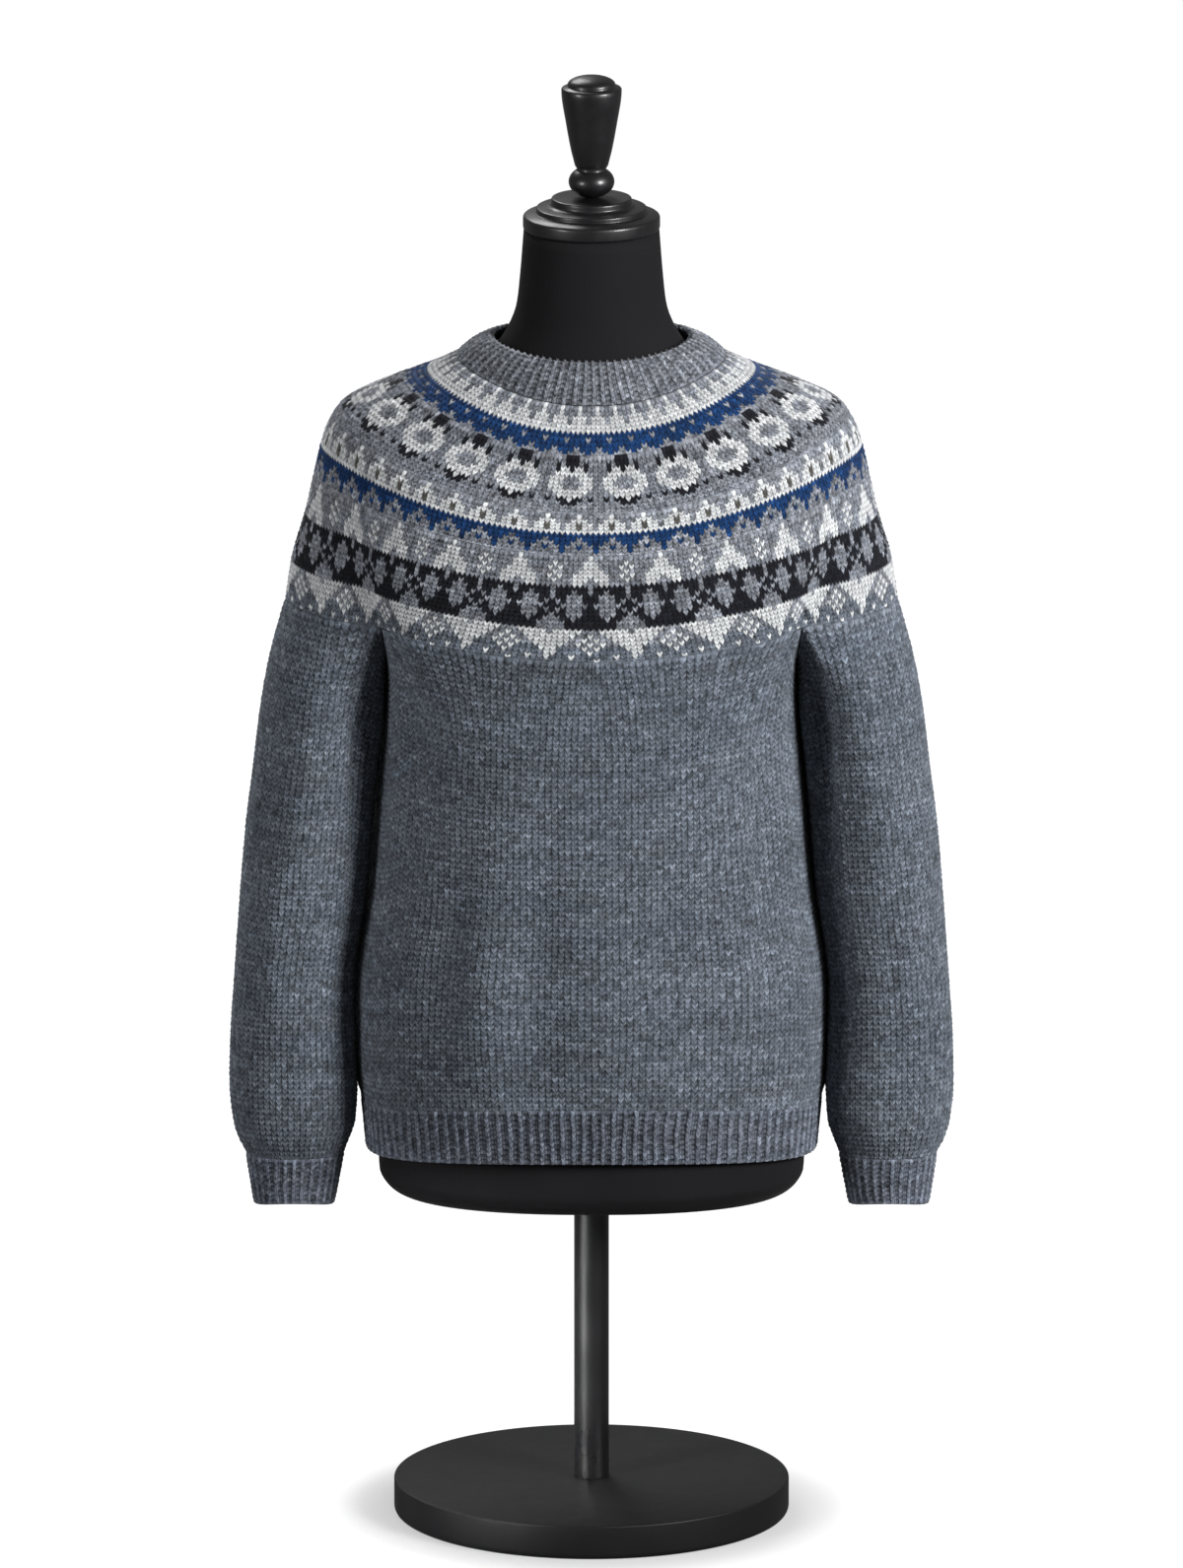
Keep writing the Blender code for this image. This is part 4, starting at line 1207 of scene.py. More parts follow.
        a, d = grid.rows(0, rows), beside.rows(0, rows)
        b, c = grid.rows(1, rows + 1), beside.rows(1, rows + 1)
        self.add_faces((a, c, b), colour)
        self.add_faces((a, d, c), colour)
        first, last = grid.rows(0, 1), grid.rows(rows, rows + 1)
        self.zip(Points(first.number[0], first.across[0], first.down[0]), top, colour)
        self.zip(bottom, Points(last.number[0], last.across[0], last.down[0]), colour)

    def finish(self, name: str, material: bpy.types.Material) -> bpy.types.Object:
        """Makes the mesh object, smooth, with its yarn colours, relief for painted shade and stitch
        layout.
        """
        faces = np.concatenate(self.faces)
        made = mesh_object(name, np.concatenate(self.points) * MM, faces, material)
        mesh = made.data
        colours = mesh.color_attributes.new("yarn", "FLOAT_COLOR", "CORNER")
        colours.data.foreach_set("color", np.repeat(np.concatenate(self.colours), 3, axis=0)
                                 .astype(np.float32).ravel())
        relief = mesh.attributes.new("relief", "FLOAT", "POINT")
        relief.data.foreach_set("value", np.concatenate(self.relief).astype(np.float32))
        layout = mesh.uv_layers.new(name="stitches")
        layout.uv.foreach_set("vector", np.concatenate(self.layout).astype(np.float32).ravel())
        return made


# ---------------------------------------------------------------- meshes
def mesh_object(name: str, points: np.ndarray, faces: np.ndarray,
                material: bpy.types.Material) -> bpy.types.Object:
    """Puts triangles into a new smooth mesh object at the origin.

    Args:
        name: the object's name.
        points: vertices in metres.
        faces: three vertex numbers for each triangle.
        material: its finish.

    Returns:
        The object, linked to the scene.
    """
    mesh = bpy.data.meshes.new(name)
    mesh.vertices.add(len(points))
    mesh.vertices.foreach_set("co", points.astype(np.float32).ravel())
    mesh.loops.add(faces.size)
    mesh.loops.foreach_set("vertex_index", faces.astype(np.int32).ravel())
    mesh.polygons.add(len(faces))
    mesh.polygons.foreach_set("loop_start", np.arange(0, faces.size, 3, dtype=np.int32))
    mesh.update(calc_edges=True)
    mesh.validate()
    mesh.shade_smooth()
    mesh.materials.append(material)
    made = bpy.data.objects.new(name, mesh)
    bpy.context.scene.collection.objects.link(made)
    return made


def grid_faces(rows: int, columns: int) -> np.ndarray:
    """Triangles of a closed-round grid with rows going down, facing outwards."""
    number = np.arange(rows * columns).reshape(rows, columns)
    a, b = number[:-1], number[1:]
    d, c = np.roll(a, -1, axis=1), np.roll(b, -1, axis=1)
    return np.concatenate([np.stack([a, b, c], axis=-1).reshape(-1, 3),
                           np.stack([a, c, d], axis=-1).reshape(-1, 3)])


def lofted(name: str, grid: np.ndarray, material: bpy.types.Material) -> bpy.types.Object:
    """A closed loft: a grid of rings going down, with a fan at the first and last.

    Args:
        name: the object's name.
        grid: rows of ring points in millimetres, counterclockwise from above.
        material: its finish.

    Returns:
        The object.
    """
    rows, columns = grid.shape[:2]
    ends = np.stack([grid[0].mean(axis=0), grid[-1].mean(axis=0)])
    points = np.concatenate([grid.reshape(-1, 3), ends])
    i = np.arange(columns)
    k = np.roll(i, -1)
    top = np.stack([np.full(columns, rows * columns), i, k], axis=1)
    low = (rows - 1) * columns
    foot = np.stack([np.full(columns, rows * columns + 1), k + low, i + low], axis=1)
    faces = np.concatenate([grid_faces(rows, columns), top, foot])
    made = mesh_object(name, points * MM, faces, material)
    return made


def turned(name: str, profile: np.ndarray, columns: int,
           material: bpy.types.Material) -> bpy.types.Object:
    """A solid of revolution: each profile point (radius, height) becomes a ring about Z.

    Args:
        name: the object's name.
        profile: points down the outer side, in millimetres, neither end on the axis.
        columns: points in each ring.
        material: its finish.

    Returns:
        The object.
    """
    turns = np.arange(columns) * TURN / columns
    radius, height = profile[:, :1], profile[:, 1:]
    grid = np.stack([radius * np.cos(turns), radius * np.sin(turns),
                     np.broadcast_to(height, (len(profile), columns))], axis=-1)
    return lofted(name, grid, material)


def rounded_profile(corners: tuple[tuple[float, float, float], ...], steps: int = 6) -> np.ndarray:
    """A profile through corners (radius, height, round), each turned by a smooth curve.

    A corner is a parabola between the points that lie its round away along both sides.

    Args:
        corners: the corners, the first and last without a round.
        steps: points in each curve.

    Returns:
        Points (radius, height).
    """
    table = np.array(corners, float)
    spots = table[:, :2]
    before, here, after = spots[:-2], spots[1:-1], spots[2:]
    reach = table[1:-1, 2:]
    near = here + unit(before - here) * np.minimum(reach, np.linalg.norm(before - here, axis=1,
                                                                         keepdims=True) * 0.49)
    far = here + unit(after - here) * np.minimum(reach, np.linalg.norm(after - here, axis=1,
                                                                       keepdims=True) * 0.49)
    t = np.linspace(0, 1, steps)[None, :, None]
    curves = near[:, None] * (1 - t) ** 2 + here[:, None] * 2 * t * (1 - t) + far[:, None] * t ** 2
    return np.concatenate([spots[:1], curves.reshape(-1, 2), spots[-1:]])


# ---------------------------------------------------------------- materials
class NodeTree:
    """A material's nodes: one call adds a node with its settings and links."""

    def __init__(self, name: str) -> None:
        """Starts a material with its shader only."""
        self.material = bpy.data.materials.new(name)
        self.material.use_nodes = True
        self.tree = self.material.node_tree
        self.shader = self.tree.nodes["Principled BSDF"]

    def add(self, kind: str, settings: dict | None = None,
            links: dict | None = None, values: dict | None = None) -> bpy.types.Node:
        """Adds a node.

        Args:
            kind: the node's type name.
            settings: its own properties.
            links: input name or number to an output socket.
            values: input name or number to a constant.

        Returns:
            The node.
        """
        node = self.tree.nodes.new(kind)
        for key, value in (settings or {}).items():
            setattr(node, key, value)
        for key, value in (values or {}).items():
            node.inputs[key].default_value = value
        for key, socket in (links or {}).items():
            self.tree.links.new(socket, node.inputs[key])
        return node

    def shade(self, **inputs: object) -> None:
        """Sets constants on the shader, or links sockets to it; underscores stand for spaces."""
        for key, value in inputs.items():
            socket = self.shader.inputs[key.replace("_", " ")]
            if isinstance(value, bpy.types.NodeSocket):
                self.tree.links.new(value, socket)
            else:
                socket.default_value = value


@dataclass(frozen=True)
class KnittedWool:
    """Wool yarn, spun of two plies and knitted.

    The eye gets matt dyed yarn with painted shade between its loops, read from the mesh's relief
    attribute, a soft halo of fibres and a faint twist of the plies. Inside, the purl side's bumps
    show, painted in the deepest valley shade.
    """

    name: str = "knitted_wool"
    roughness: float = 0.93
    sheen: float = 0.08
    sheen_roughness: float = 0.45
    valley_shade: float = 0.82
    fibre_mm: float = 1.8
    plies_in_leg: float = 2.5

    def make(self) -> bpy.types.Material:
        """Builds the material."""
        t = NodeTree(self.name)
        yarn = t.add("ShaderNodeAttribute", {"attribute_name": "yarn"})
        relief = t.add("ShaderNodeAttribute", {"attribute_name": "relief"})
        place = t.add("ShaderNodeTexCoord")
        fibres = t.add("ShaderNodeTexNoise", links={"Vector": place.outputs["Object"]},
                       values={"Scale": 1000 / self.fibre_mm / 2, "Detail": 3.0, "Roughness": 0.6})
        # Painted shade: the relief attribute, low in valleys and on the inside, darkens the yarn
        # colour by up to valley_shade.
        depth = t.add("ShaderNodeMapRange", links={"Value": relief.outputs["Fac"]},
                      values={"From Min": 0.0, "From Max": 0.85,
                              "To Min": 1 - self.valley_shade, "To Max": 1.0})
        around = t.add("ShaderNodeMath", {"operation": "MULTIPLY_ADD"},
                       {0: fibres.outputs["Fac"]}, {1: 5.0, 2: -2.5})
        mottle = t.add("ShaderNodeMath", {"operation": "MULTIPLY_ADD"},
                       {0: around.outputs[0], 1: yarn.outputs["Alpha"]}, {2: 1.0})
        both = t.add("ShaderNodeMath", {"operation": "MULTIPLY"},
                     {0: depth.outputs["Result"], 1: mottle.outputs[0]})
        shaded = t.add("ShaderNodeVectorMath", {"operation": "SCALE"},
                       {0: yarn.outputs["Color"], "Scale": both.outputs[0]})
        layout = t.add("ShaderNodeUVMap", {"uv_map": "stitches"})
        parts = t.add("ShaderNodeSeparateXYZ", links={0: layout.outputs["UV"]})
        column = t.add("ShaderNodeMath", {"operation": "PINGPONG"}, {0: parts.outputs["X"]},
                       {1: 0.5})
        twist = t.add("ShaderNodeMath", {"operation": "MULTIPLY_ADD"},
                      {0: column.outputs[0], 2: parts.outputs["Y"]}, {1: 2.2})
        plies = t.add("ShaderNodeMath", {"operation": "MULTIPLY"}, {0: twist.outputs[0]},
                      {1: TURN * self.plies_in_leg})
        wave = t.add("ShaderNodeMath", {"operation": "SINE"}, {0: plies.outputs[0]})
        bumps = t.add("ShaderNodeBump", links={"Height": wave.outputs[0]},
                      values={"Strength": 0.25, "Distance": 0.0003})
        hairs = t.add("ShaderNodeBump", links={"Height": fibres.outputs["Fac"],
                                               "Normal": bumps.outputs["Normal"]},
                      values={"Strength": 0.5, "Distance": 0.0006})
        t.shade(Base_Color=shaded.outputs[0], Normal=hairs.outputs["Normal"],
                Roughness=self.roughness, Sheen_Weight=self.sheen,
                Sheen_Roughness=self.sheen_roughness, Specular_IOR_Level=0.18)
        return t.material


@dataclass(frozen=True)
class StretchJersey:
    """Black viscose jersey, machine-knitted and stretched over a padded form.

    The eye gets a matt black with a fine vertical grain of wales and a soft light edge.
    """

    name: str = "black_jersey"
    colour: str = "151416"
    roughness: float = 0.85
    sheen: float = 0.03
    wale_mm: float = 1.6

    def make(self) -> bpy.types.Material:
        """Builds the material; the wales are drawn wider than real ones so that they show."""
        t = NodeTree(self.name)
        place = t.add("ShaderNodeTexCoord")
        squeeze = t.add("ShaderNodeMapping", links={"Vector": place.outputs["Object"]},
                        values={"Scale": (1.0, 1.0, 0.22)})
        grain = t.add("ShaderNodeTexNoise", links={"Vector": squeeze.outputs["Vector"]},
                      values={"Scale": 1000 / self.wale_mm / 1.4, "Detail": 2.0})
        cloudy = t.add("ShaderNodeTexNoise", links={"Vector": place.outputs["Object"]},
                       values={"Scale": 9.0, "Detail": 3.0})
        shade = t.add("ShaderNodeMapRange", links={"Value": cloudy.outputs["Fac"]},
                      values={"From Min": 0.3, "From Max": 0.7, "To Min": 0.82, "To Max": 1.15})
        tint = t.add("ShaderNodeVectorMath", {"operation": "SCALE"}, {"Scale": shade.outputs[0]},
                     {0: linear(self.colour)[:3]})
        bumps = t.add("ShaderNodeBump", links={"Height": grain.outputs["Fac"]},
                      values={"Strength": 0.5, "Distance": 0.0004})
        t.shade(Base_Color=tint.outputs[0], Normal=bumps.outputs["Normal"],
                Roughness=self.roughness, Sheen_Weight=self.sheen, Sheen_Roughness=0.4,
                Specular_IOR_Level=0.12)
        return t.material


@dataclass(frozen=True)
class LacqueredWood:
    """Beech, turned on a lathe, stained black and lacquered.

    The eye gets a satin black with soft round highlights and faint turning marks.
    """

    name: str = "black_lacquered_beech"
    colour: str = "0d0d0f"
    roughness: float = 0.38
    coat: float = 0.25
    turning_mm: float = 1.1

    def make(self) -> bpy.types.Material:
        """Builds the material."""
        t = NodeTree(self.name)
        place = t.add("ShaderNodeTexCoord")
        stretch = t.add("ShaderNodeMapping", links={"Vector": place.outputs["Object"]},
                        values={"Scale": (0.12, 0.12, 1.0)})
        marks = t.add("ShaderNodeTexNoise", links={"Vector": stretch.outputs["Vector"]},
                      values={"Scale": 1000 / self.turning_mm / 2, "Detail": 2.0})
        clouds = t.add("ShaderNodeTexNoise", links={"Vector": place.outputs["Object"]},
                       values={"Scale": 70.0, "Detail": 4.0})
        gloss = t.add("ShaderNodeMapRange", links={"Value": clouds.outputs["Fac"]},
                      values={"From Min": 0.3, "From Max": 0.7, "To Min": self.roughness - 0.05,
                              "To Max": self.roughness + 0.08})
        bumps = t.add("ShaderNodeBump", links={"Height": marks.outputs["Fac"]},
                      values={"Strength": 0.12, "Distance": 0.0003})
        t.shade(Base_Color=linear(self.colour), Normal=bumps.outputs["Normal"],
                Roughness=gloss.outputs[0], Coat_Weight=self.coat, Coat_Roughness=0.18,
                Specular_IOR_Level=0.4)
        return t.material


@dataclass(frozen=True)
class PowderCoat:
    """Steel with a baked black powder coat.

    The eye gets an even soft black with a very fine orange-peel skin.
    """

    name: str
    colour: str
    roughness: float
    specular: float = 0.2
    peel_mm: float = 1.4
    peel_strength: float = 0.18

    def make(self) -> bpy.types.Material:
        """Builds the material; the peel is drawn a little coarser than real so that it shows."""
        t = NodeTree(self.name)
        place = t.add("ShaderNodeTexCoord")
        peel = t.add("ShaderNodeTexNoise", links={"Vector": place.outputs["Object"]},
                     values={"Scale": 1000 / self.peel_mm / 2, "Detail": 2.0})
        wear = t.add("ShaderNodeTexNoise", links={"Vector": place.outputs["Object"]},
                     values={"Scale": 22.0, "Detail": 5.0})
        gloss = t.add("ShaderNodeMapRange", links={"Value": wear.outputs["Fac"]},
                      values={"From Min": 0.3, "From Max": 0.7, "To Min": self.roughness - 0.05,
                              "To Max": self.roughness + 0.07})
        bumps = t.add("ShaderNodeBump", links={"Height": peel.outputs["Fac"]},
                      values={"Strength": self.peel_strength, "Distance": 0.0003})
        t.shade(Base_Color=linear(self.colour), Normal=bumps.outputs["Normal"],
                Roughness=gloss.outputs[0], Specular_IOR_Level=self.specular)
        return t.material


class Held(Enum):
    """How a sheet of cloth is held."""

    STRETCHED = "stretched"
    HUNG = "hung"
    DRAPED = "draped"


@dataclass(frozen=True)
class Cut:
    """The flat size of a knitted piece, all round its tube, in metres."""

    width: float
    length: float
    area: float | None
    held: Held


def declare(piece: bpy.types.Object, node: str) -> None:
    """Ties a piece to the frame: puts it on the root body and hides the node that it replaces.

    Args:
        piece: the finished object.
        node: the solid that it stands for.
    """
    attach(piece, "root")
    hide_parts(node)
    LOG.info("%s: %d triangles", piece.name, len(piece.data.polygons))


# ---------------------------------------------------------------- the sweater
@dataclass
class Sweater:
    """The sweater: neckband, round yoke, body, hem rib, two sleeves and two cuffs."""

    wool: bpy.types.Material
    repeats: int = 22
    wall: float = 2.6
    yoke_shift: float = 0.009
    body_stitches: int = 182
    body_courses: int = 87
    sleeve_stitches: int = 64
    sleeve_courses: int = 100
    hem_ribs: int = 112
    hem_courses: int = 11
    cuff_ribs: int = 31
    cuff_courses: int = 10
    band_ribs: int = 74
    band_courses: int = 18
    yoke: YokeSurface = field(default_factory=YokeSurface)

    def __post_init__(self) -> None:
        """Sets up the tubes, each from the one that it is joined to."""
        self.body = BodySurface(self.yoke)
        self.sleeve = SleeveSurface(self.body)
        self.cuff = CuffSurface(self.sleeve)
        self.inside = np.array(linear("5a626c"))

    def build(self) -> None:
        """Knits every piece."""
        self.build_yoke()
        self.build_band()
        self.build_body()
        self.build_hem()
        for side, name in ((False, "left"), (True, "right")):
            self.build_sleeve(name, side)
            self.build_cuff(name, side)

    def build_yoke(self) -> None:
        """Knits the yoke: four zones whose stitch counts grow, as a round yoke's do.

        A joint between zones is a strip of a tenth of a course.
        """
        knit = KnitMesh(self.yoke, seed=11)
        spans = ((NECK_CHART, 0, 11), (ROSETTE_CHART, 11, 25), (PEAK_CHART, 25, 36),
                 (STAR_CHART, 36, 61))
        line = np.concatenate([np.linspace(0, 0.5, 31), np.linspace(0.5, 1.0, 32)[1:]])
        rings = []
        for chart, start, stop in spans:
            codes = chart.codes(self.repeats, 0.0)
            zone = even_zone(codes, 0.0, 1.0)
            courses = line[int(start):stop + 1].copy()
            courses[0] += 0.0008 if start else 0.0
            courses[-1] -= 0.0008 if stop < 61 else 0.0
            shift = self.yoke_shift - 0.012 * courses
            zone.courses = courses
            zone.edges = zone.edges + float(shift.mean()) + self.phase(codes.shape[1])
            rings.append(knit.knit(zone))
        ground = np.array(linear(YARNS["g"].colour))
        for above, below in zip(rings[:-1], rings[1:]):
            knit.zip(above[1], below[0], ground)
        knit.line(rings[0][0], rings[-1][1], self.wall, 64, 10, 300, 61, self.inside, (0.0, 1.0))
        piece = knit.finish("knitted_yoke", self.wool)
        declare(piece, "yoke")

    def phase(self, columns: int) -> float:
        """Start of the first column, so that a repeat's joint with the next lies on the axis."""
        return 0.5 / self.repeats - 0.5 / columns

    def build_band(self) -> None:
        """Knits the doubled neckband in one-by-one rib."""
        knit = KnitMesh(BandSurface(self.yoke), seed=12, stitch=RIB_STITCH)
        # The band is knitted in the lighter ground yarn g, not the rib yarn r, as painted light on
        # a band that faces up to the lights.
        rings = knit.knit(rib_zone(self.band_ribs, self.band_courses, 0.0, 1.0,
                                   0.46, 0.5, 0.9, "g"))
        knit.line(*rings, 2.4, 88, 16, 148, 18, self.inside, (0.0, 1.0))
        piece = knit.finish("ribbed_neckband", self.wool)
        declare(piece, "neckband")

    def build_body(self) -> None:
        """Knits the plain body."""
        knit = KnitMesh(self.body, seed=13)
        codes = np.full((self.body_courses, self.body_stitches), YARN_KEYS.index("s"))
        rings = knit.knit(even_zone(codes, 0.0, 1.0))
        knit.line(*rings, self.wall, 96, 18, 182, 87, self.inside, (0.0, 1.0))
        piece = knit.finish("knitted_body", self.wool)
        declare(piece, "body")

    def build_hem(self) -> None:
        """Knits the hem rib."""
        knit = KnitMesh(HemSurface(self.body), seed=14, stitch=RIB_STITCH)
        rings = knit.knit(rib_zone(self.hem_ribs, self.hem_courses, 0.0, 1.0, 0.42, 0.8, 1.1))
        knit.line(*rings, 3.2, 95, 3, 190, 11, self.inside, (0.0, 1.0))
        piece = knit.finish("hem_ribbing", self.wool)
        declare(piece, "hem_rib")

    def build_sleeve(self, name: str, mirror: bool) -> None:
        """Knits one sleeve, on the wearer's side that its name gives."""
        tube = Mirrored(self.sleeve) if mirror else self.sleeve
        knit = KnitMesh(tube, seed=16 if mirror else 15)
        codes = np.full((self.sleeve_courses, self.sleeve_stitches), YARN_KEYS.index("s"))
        rings = knit.knit(even_zone(codes, 0.0, 1.0))
        knit.line(*rings, self.wall, 48, 22, 64, 100, self.inside, (0.0, 1.0))
        piece = knit.finish(f"knitted_sleeve_{name}", self.wool)
        declare(piece, f"sleeve_{name}")

    def build_cuff(self, name: str, mirror: bool) -> None:
        """Knits one cuff, on the wearer's side that its name gives."""
        tube = Mirrored(self.cuff) if mirror else self.cuff
        knit = KnitMesh(tube, seed=18 if mirror else 17, stitch=RIB_STITCH)
        rings = knit.knit(rib_zone(self.cuff_ribs, self.cuff_courses, 0.0, 1.0, 0.44, 0.6, 0.8))
        knit.line(*rings, 3.2, 52, 3, 52, 10, self.inside, (0.0, 1.0))
        piece = knit.finish(f"cuff_ribbing_{name}", self.wool)
        declare(piece, f"cuff_{name}")


# ---------------------------------------------------------------- the form and its stand
@dataclass
class DressForm:
    """The limbless form: one loft from a flat underside, round its lower corner, to the neck."""

    jersey: bpy.types.Material
    underside: float = 281.0
    corner: float = 26.0
    drop: float = 2.4
    columns: int = 96
    rows: int = 110

    def build(self) -> None:
        """Lofts the form through its rings, with a smooth curve through each column of sizes."""
        hip = FORM_RINGS[0]
        turns = np.radians(np.array([0.0, 15.0, 30.0, 45.0, 60.0, 75.0]))
        inset = self.corner * (1 - np.sin(turns))
        rise = self.underside + self.corner * (1 - np.cos(turns))
        rings = [Ring(hip.side_x - i, z, hip.front_y + i, z, hip.back_y - i, z, hip.square)
                 for i, z in zip(inset.tolist(), rise.tolist())] + list(FORM_RINGS)
        keys = np.arange(len(rings))
        at = np.linspace(len(rings) - 1, 0, self.rows)[:, None]
        read = {name: through(keys, column(tuple(rings), name), at)
                for name in RING_COLUMNS}
        angles = (np.arange(self.columns) * TURN / self.columns)[None]
        x, y, share = plan(angles, read["side_x"], read["front_y"], read["back_y"], read["square"])
        end = np.where(np.sin(angles) < 0, read["front_z"], read["back_z"])
        z = read["side_z"] + (end - read["side_z"]) * share ** self.drop
        grid = np.stack(np.broadcast_arrays(x, y, z), axis=-1)
        piece = lofted("jersey_form", grid, self.jersey)
        declare(piece, "torso_form")


@dataclass
class Stand:
    """The stand's turned pieces: neck cap, finial, pole and round base plate."""

    wood: bpy.types.Material
    pole_paint: bpy.types.Material
    base_paint: bpy.types.Material

    def build(self) -> None:
        """Turns the four pieces."""
        self.build_cap()
        self.build_finial()
        self.build_pole()
        self.build_base()

    def build_cap(self) -> None:
        """Turns the neck cap: three steps, each with a rounded edge."""
        profile = rounded_profile((
            (6.0, 1139.6, 0.0), (33.8, 1139.6, 1.8), (33.8, 1134.2, 0.9), (36.0, 1132.4, 2.0),
            (46.5, 1131.4, 1.6), (46.5, 1127.2, 0.7), (51.0, 1126.4, 2.5), (57.6, 1124.4, 2.4),
            (57.6, 1113.6, 1.8), (54.0, 1112.3, 1.0), (6.0, 1112.3, 0.0)))
        declare(turned("neck_cap_turning", profile, 96, self.wood), "neck_cap")

    def build_finial(self) -> None:
        """Turns the finial: low dome, groove, tapering cone and flattened ball."""
        quarter = np.radians(np.linspace(86, 0, 9))
        dome = np.stack([20.2 * np.cos(quarter), 1236.5 + 7.5 * np.sin(quarter)], axis=1)
        groove = np.array([(20.0, 1235.2), (20.4, 1234.7), (23.4, 1234.4), (24.8, 1233.7)])
        heights = np.linspace(1232.6, 1167.4, 22)
        keys = (1167.0, 1172.0, 1180.0, 1204.0, 1229.0, 1232.6)
        cone = np.stack([through(keys, (14.0, 15.2, 17.2, 21.6, 25.3, 25.4), heights), heights],
                        axis=1)
        turn = np.radians(np.linspace(52, -72, 20))
        ball = np.stack([19.3 * np.cos(turn), 1153.2 + 13.6 * np.sin(turn)], axis=1)
        foot = np.array([(5.5, 1139.9)])
        profile = np.concatenate([dome, groove, cone, ball, foot])
        declare(turned("finial_turning", profile, 72, self.wood), "finial")

    def build_pole(self) -> None:
        """Turns the pole."""
        profile = rounded_profile(((2.0, 280.7, 0.0), (14.75, 280.7, 0.6), (14.75, 29.8, 0.6),
                                   (2.0, 29.8, 0.0)))
        declare(turned("pole_tube", profile, 64, self.pole_paint), "pole")

    def build_base(self) -> None:
        """Turns the base plate, with a crisp top edge and a rounded foot."""
        profile = rounded_profile(((15.0, 29.5, 0.0), (167.0, 29.5, 1.8), (167.0, 0.0, 5.5),
                                   (15.0, 0.0, 0.0)), 8)
        declare(turned("base_disc", profile, 160, self.base_paint), "base_plate")


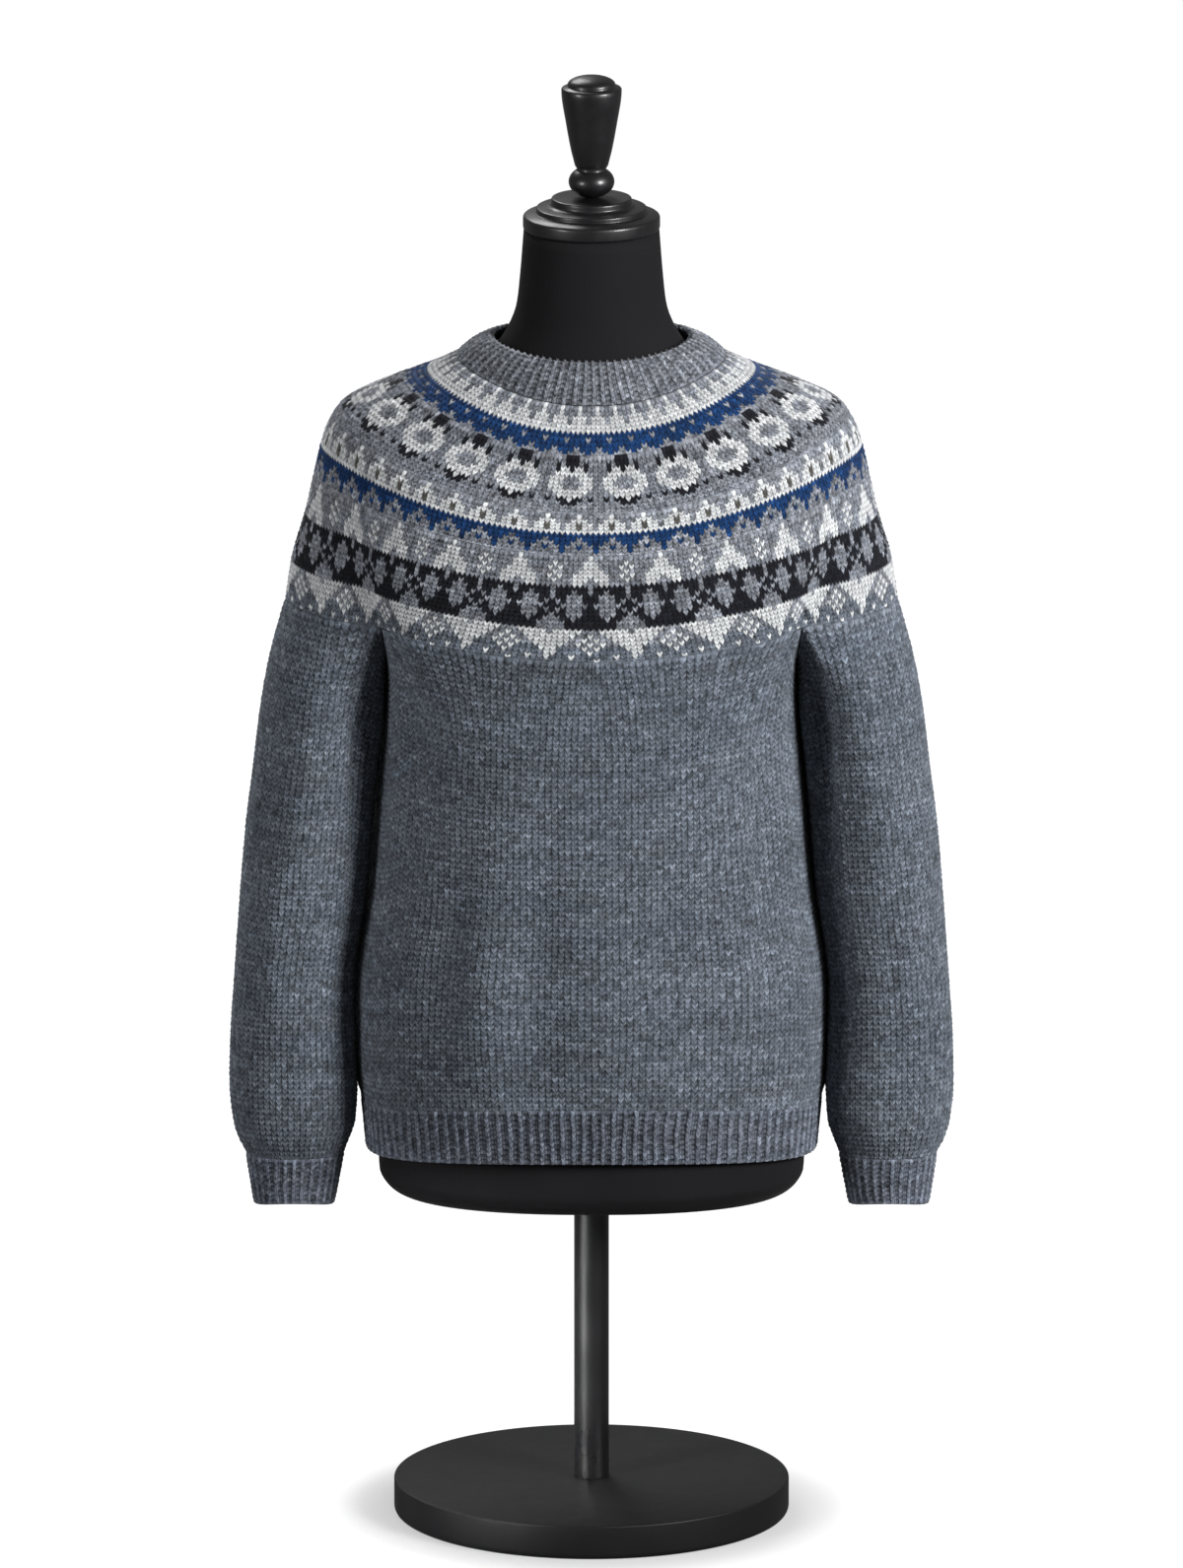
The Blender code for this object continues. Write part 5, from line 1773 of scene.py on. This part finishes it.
# ---------------------------------------------------------------- the studio
@dataclass
class Studio:
    """A white floor with a painted contact shadow round the base, a weak white surround, a large
    key light, a small fill and the camera.
    """

    target: tuple[float, float, float] = (0.0, 0.0, 0.6323)
    elevation: float = 14.0
    distance: float = 29.35
    lens: float = 800.0
    surround: float = 0.16
    floor_glow: float = 0.93
    # Near the base the floor's glow falls to painted_contact_shadow_glow over
    # painted_contact_shadow_reach: a painted contact shadow.
    painted_contact_shadow_glow: float = 0.46
    painted_contact_shadow_reach: float = 0.265
    key_watts: float = 400.0
    key_size: float = 1.6
    key_place: tuple[float, float, float] = (3.45, -2.85, 2.6)
    fill_watts: float = 56.0
    fill_size: float = 0.9
    fill_place: tuple[float, float, float] = (-2.7, -2.3, 1.6)
    back_watts: float = 90.0
    back_size: float = 2.0
    back_place: tuple[float, float, float] = (-1.3, 2.9, 4.0)
    stand_watts: float = 0.62
    stand_size: float = 0.14
    stand_place: tuple[float, float, float] = (-1.5, -1.3, 0.42)

    def build(self) -> None:
        """Sets up the floor, the lights and the camera."""
        self.build_floor()
        self.build_lights()
        self.build_camera()
        bpy.context.scene.view_settings.view_transform = "Standard"

    def build_floor(self) -> None:
        """Lays a white floor that glows evenly, with a painted contact shadow where the glow dims
        round the base.
        """
        half = 45.0
        points = np.array([(-half, -half, 0), (half, -half, 0), (half, half, 0), (-half, half, 0)])
        t = NodeTree("white_studio_floor")
        away = t.add("ShaderNodeVectorMath", {"operation": "LENGTH"},
                     {0: t.add("ShaderNodeTexCoord").outputs["Object"]}).outputs["Value"]
        # The glow dims towards the origin, painting a soft contact shadow round the base.
        glow = t.add("ShaderNodeMapRange", {"interpolation_type": "SMOOTHERSTEP"}, {0: away},
                     {1: 0.15, 2: self.painted_contact_shadow_reach, 3: self.painted_contact_shadow_glow,
                      4: self.floor_glow}).outputs[0]
        t.shade(Base_Color=linear("808080"), Roughness=0.9, Specular_IOR_Level=0.0,
                Emission_Color=linear("ffffff"), Emission_Strength=glow)
        floor = mesh_object("studio_floor", points, np.array([(0, 1, 2), (0, 2, 3)]), t.material)
        floor.visible_diffuse = False
        floor.visible_glossy = False

    def build_lights(self) -> None:
        """Sets the surround and the key light."""
        world = bpy.data.worlds.new("white_surround")
        world.use_nodes = True
        back = world.node_tree.nodes["Background"]
        back.inputs["Color"].default_value = linear("ffffff")
        back.inputs["Strength"].default_value = self.surround
        bpy.context.scene.world = world
        self.softbox("key_softbox", self.key_watts, self.key_size, self.key_place)
        self.softbox("fill_softbox", self.fill_watts, self.fill_size, self.fill_place)
        self.softbox("back_softbox", self.back_watts, self.back_size, self.back_place)
        self.softbox("stand_softbox", self.stand_watts, self.stand_size, self.stand_place,
                     (0.0, 0.0, 0.12), 9.0)

    def softbox(self, name: str, watts: float, size: float,
                place: tuple[float, float, float],
                aim_at: tuple[float, float, float] | None = None, spread: float = 180.0) -> None:
        """Hangs a square area light.

        Args:
            name: the light's name.
            watts: its power.
            size: its side in metres.
            place: where it hangs.
            aim_at: the point it faces, which is the middle of the object if left out.
            spread: how wide its beam opens, in degrees.
        """
        light = bpy.data.lights.new(name, "AREA")
        light.energy = watts
        light.size = size
        light.spread = math.radians(spread)
        box = bpy.data.objects.new(name, light)
        box.location = place
        aim = np.array(aim_at or self.target) - np.array(place)
        yaw = math.atan2(aim[1], aim[0]) - math.pi / 2
        pitch = math.atan2(aim[2], math.hypot(aim[0], aim[1])) + math.pi / 2
        box.rotation_euler = (pitch, 0.0, yaw)
        bpy.context.scene.collection.objects.link(box)

    def build_camera(self) -> None:
        """Stands the camera in front, looking down at the elevation."""
        tilt = math.radians(self.elevation)
        lens = bpy.data.cameras.new("front_camera")
        lens.lens = self.lens
        lens.sensor_width = 36.0
        lens.sensor_fit = "AUTO"
        lens.clip_start = 0.5
        lens.clip_end = 400.0
        camera = bpy.data.objects.new("front_camera", lens)
        camera.location = (self.target[0], self.target[1] - self.distance * math.cos(tilt),
                           self.target[2] + self.distance * math.sin(tilt))
        camera.rotation_euler = (math.pi / 2 - tilt, 0.0, 0.0)
        bpy.context.scene.collection.objects.link(camera)
        bpy.context.scene.camera = camera


def main() -> None:
    """Builds the studio, the form, the stand and the sweater."""
    logging.basicConfig(level=logging.INFO, format="%(message)s")
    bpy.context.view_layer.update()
    Studio().build()
    DressForm(StretchJersey().make()).build()
    Stand(LacqueredWood().make(), PowderCoat("pole_powder_coat", "0e0e0f", 0.30, 0.45).make(),
          PowderCoat("base_powder_coat", "0f0f10", 0.5, 0.2).make()).build()
    Sweater(KnittedWool().make()).build()


if __name__ == "__main__":
    main()
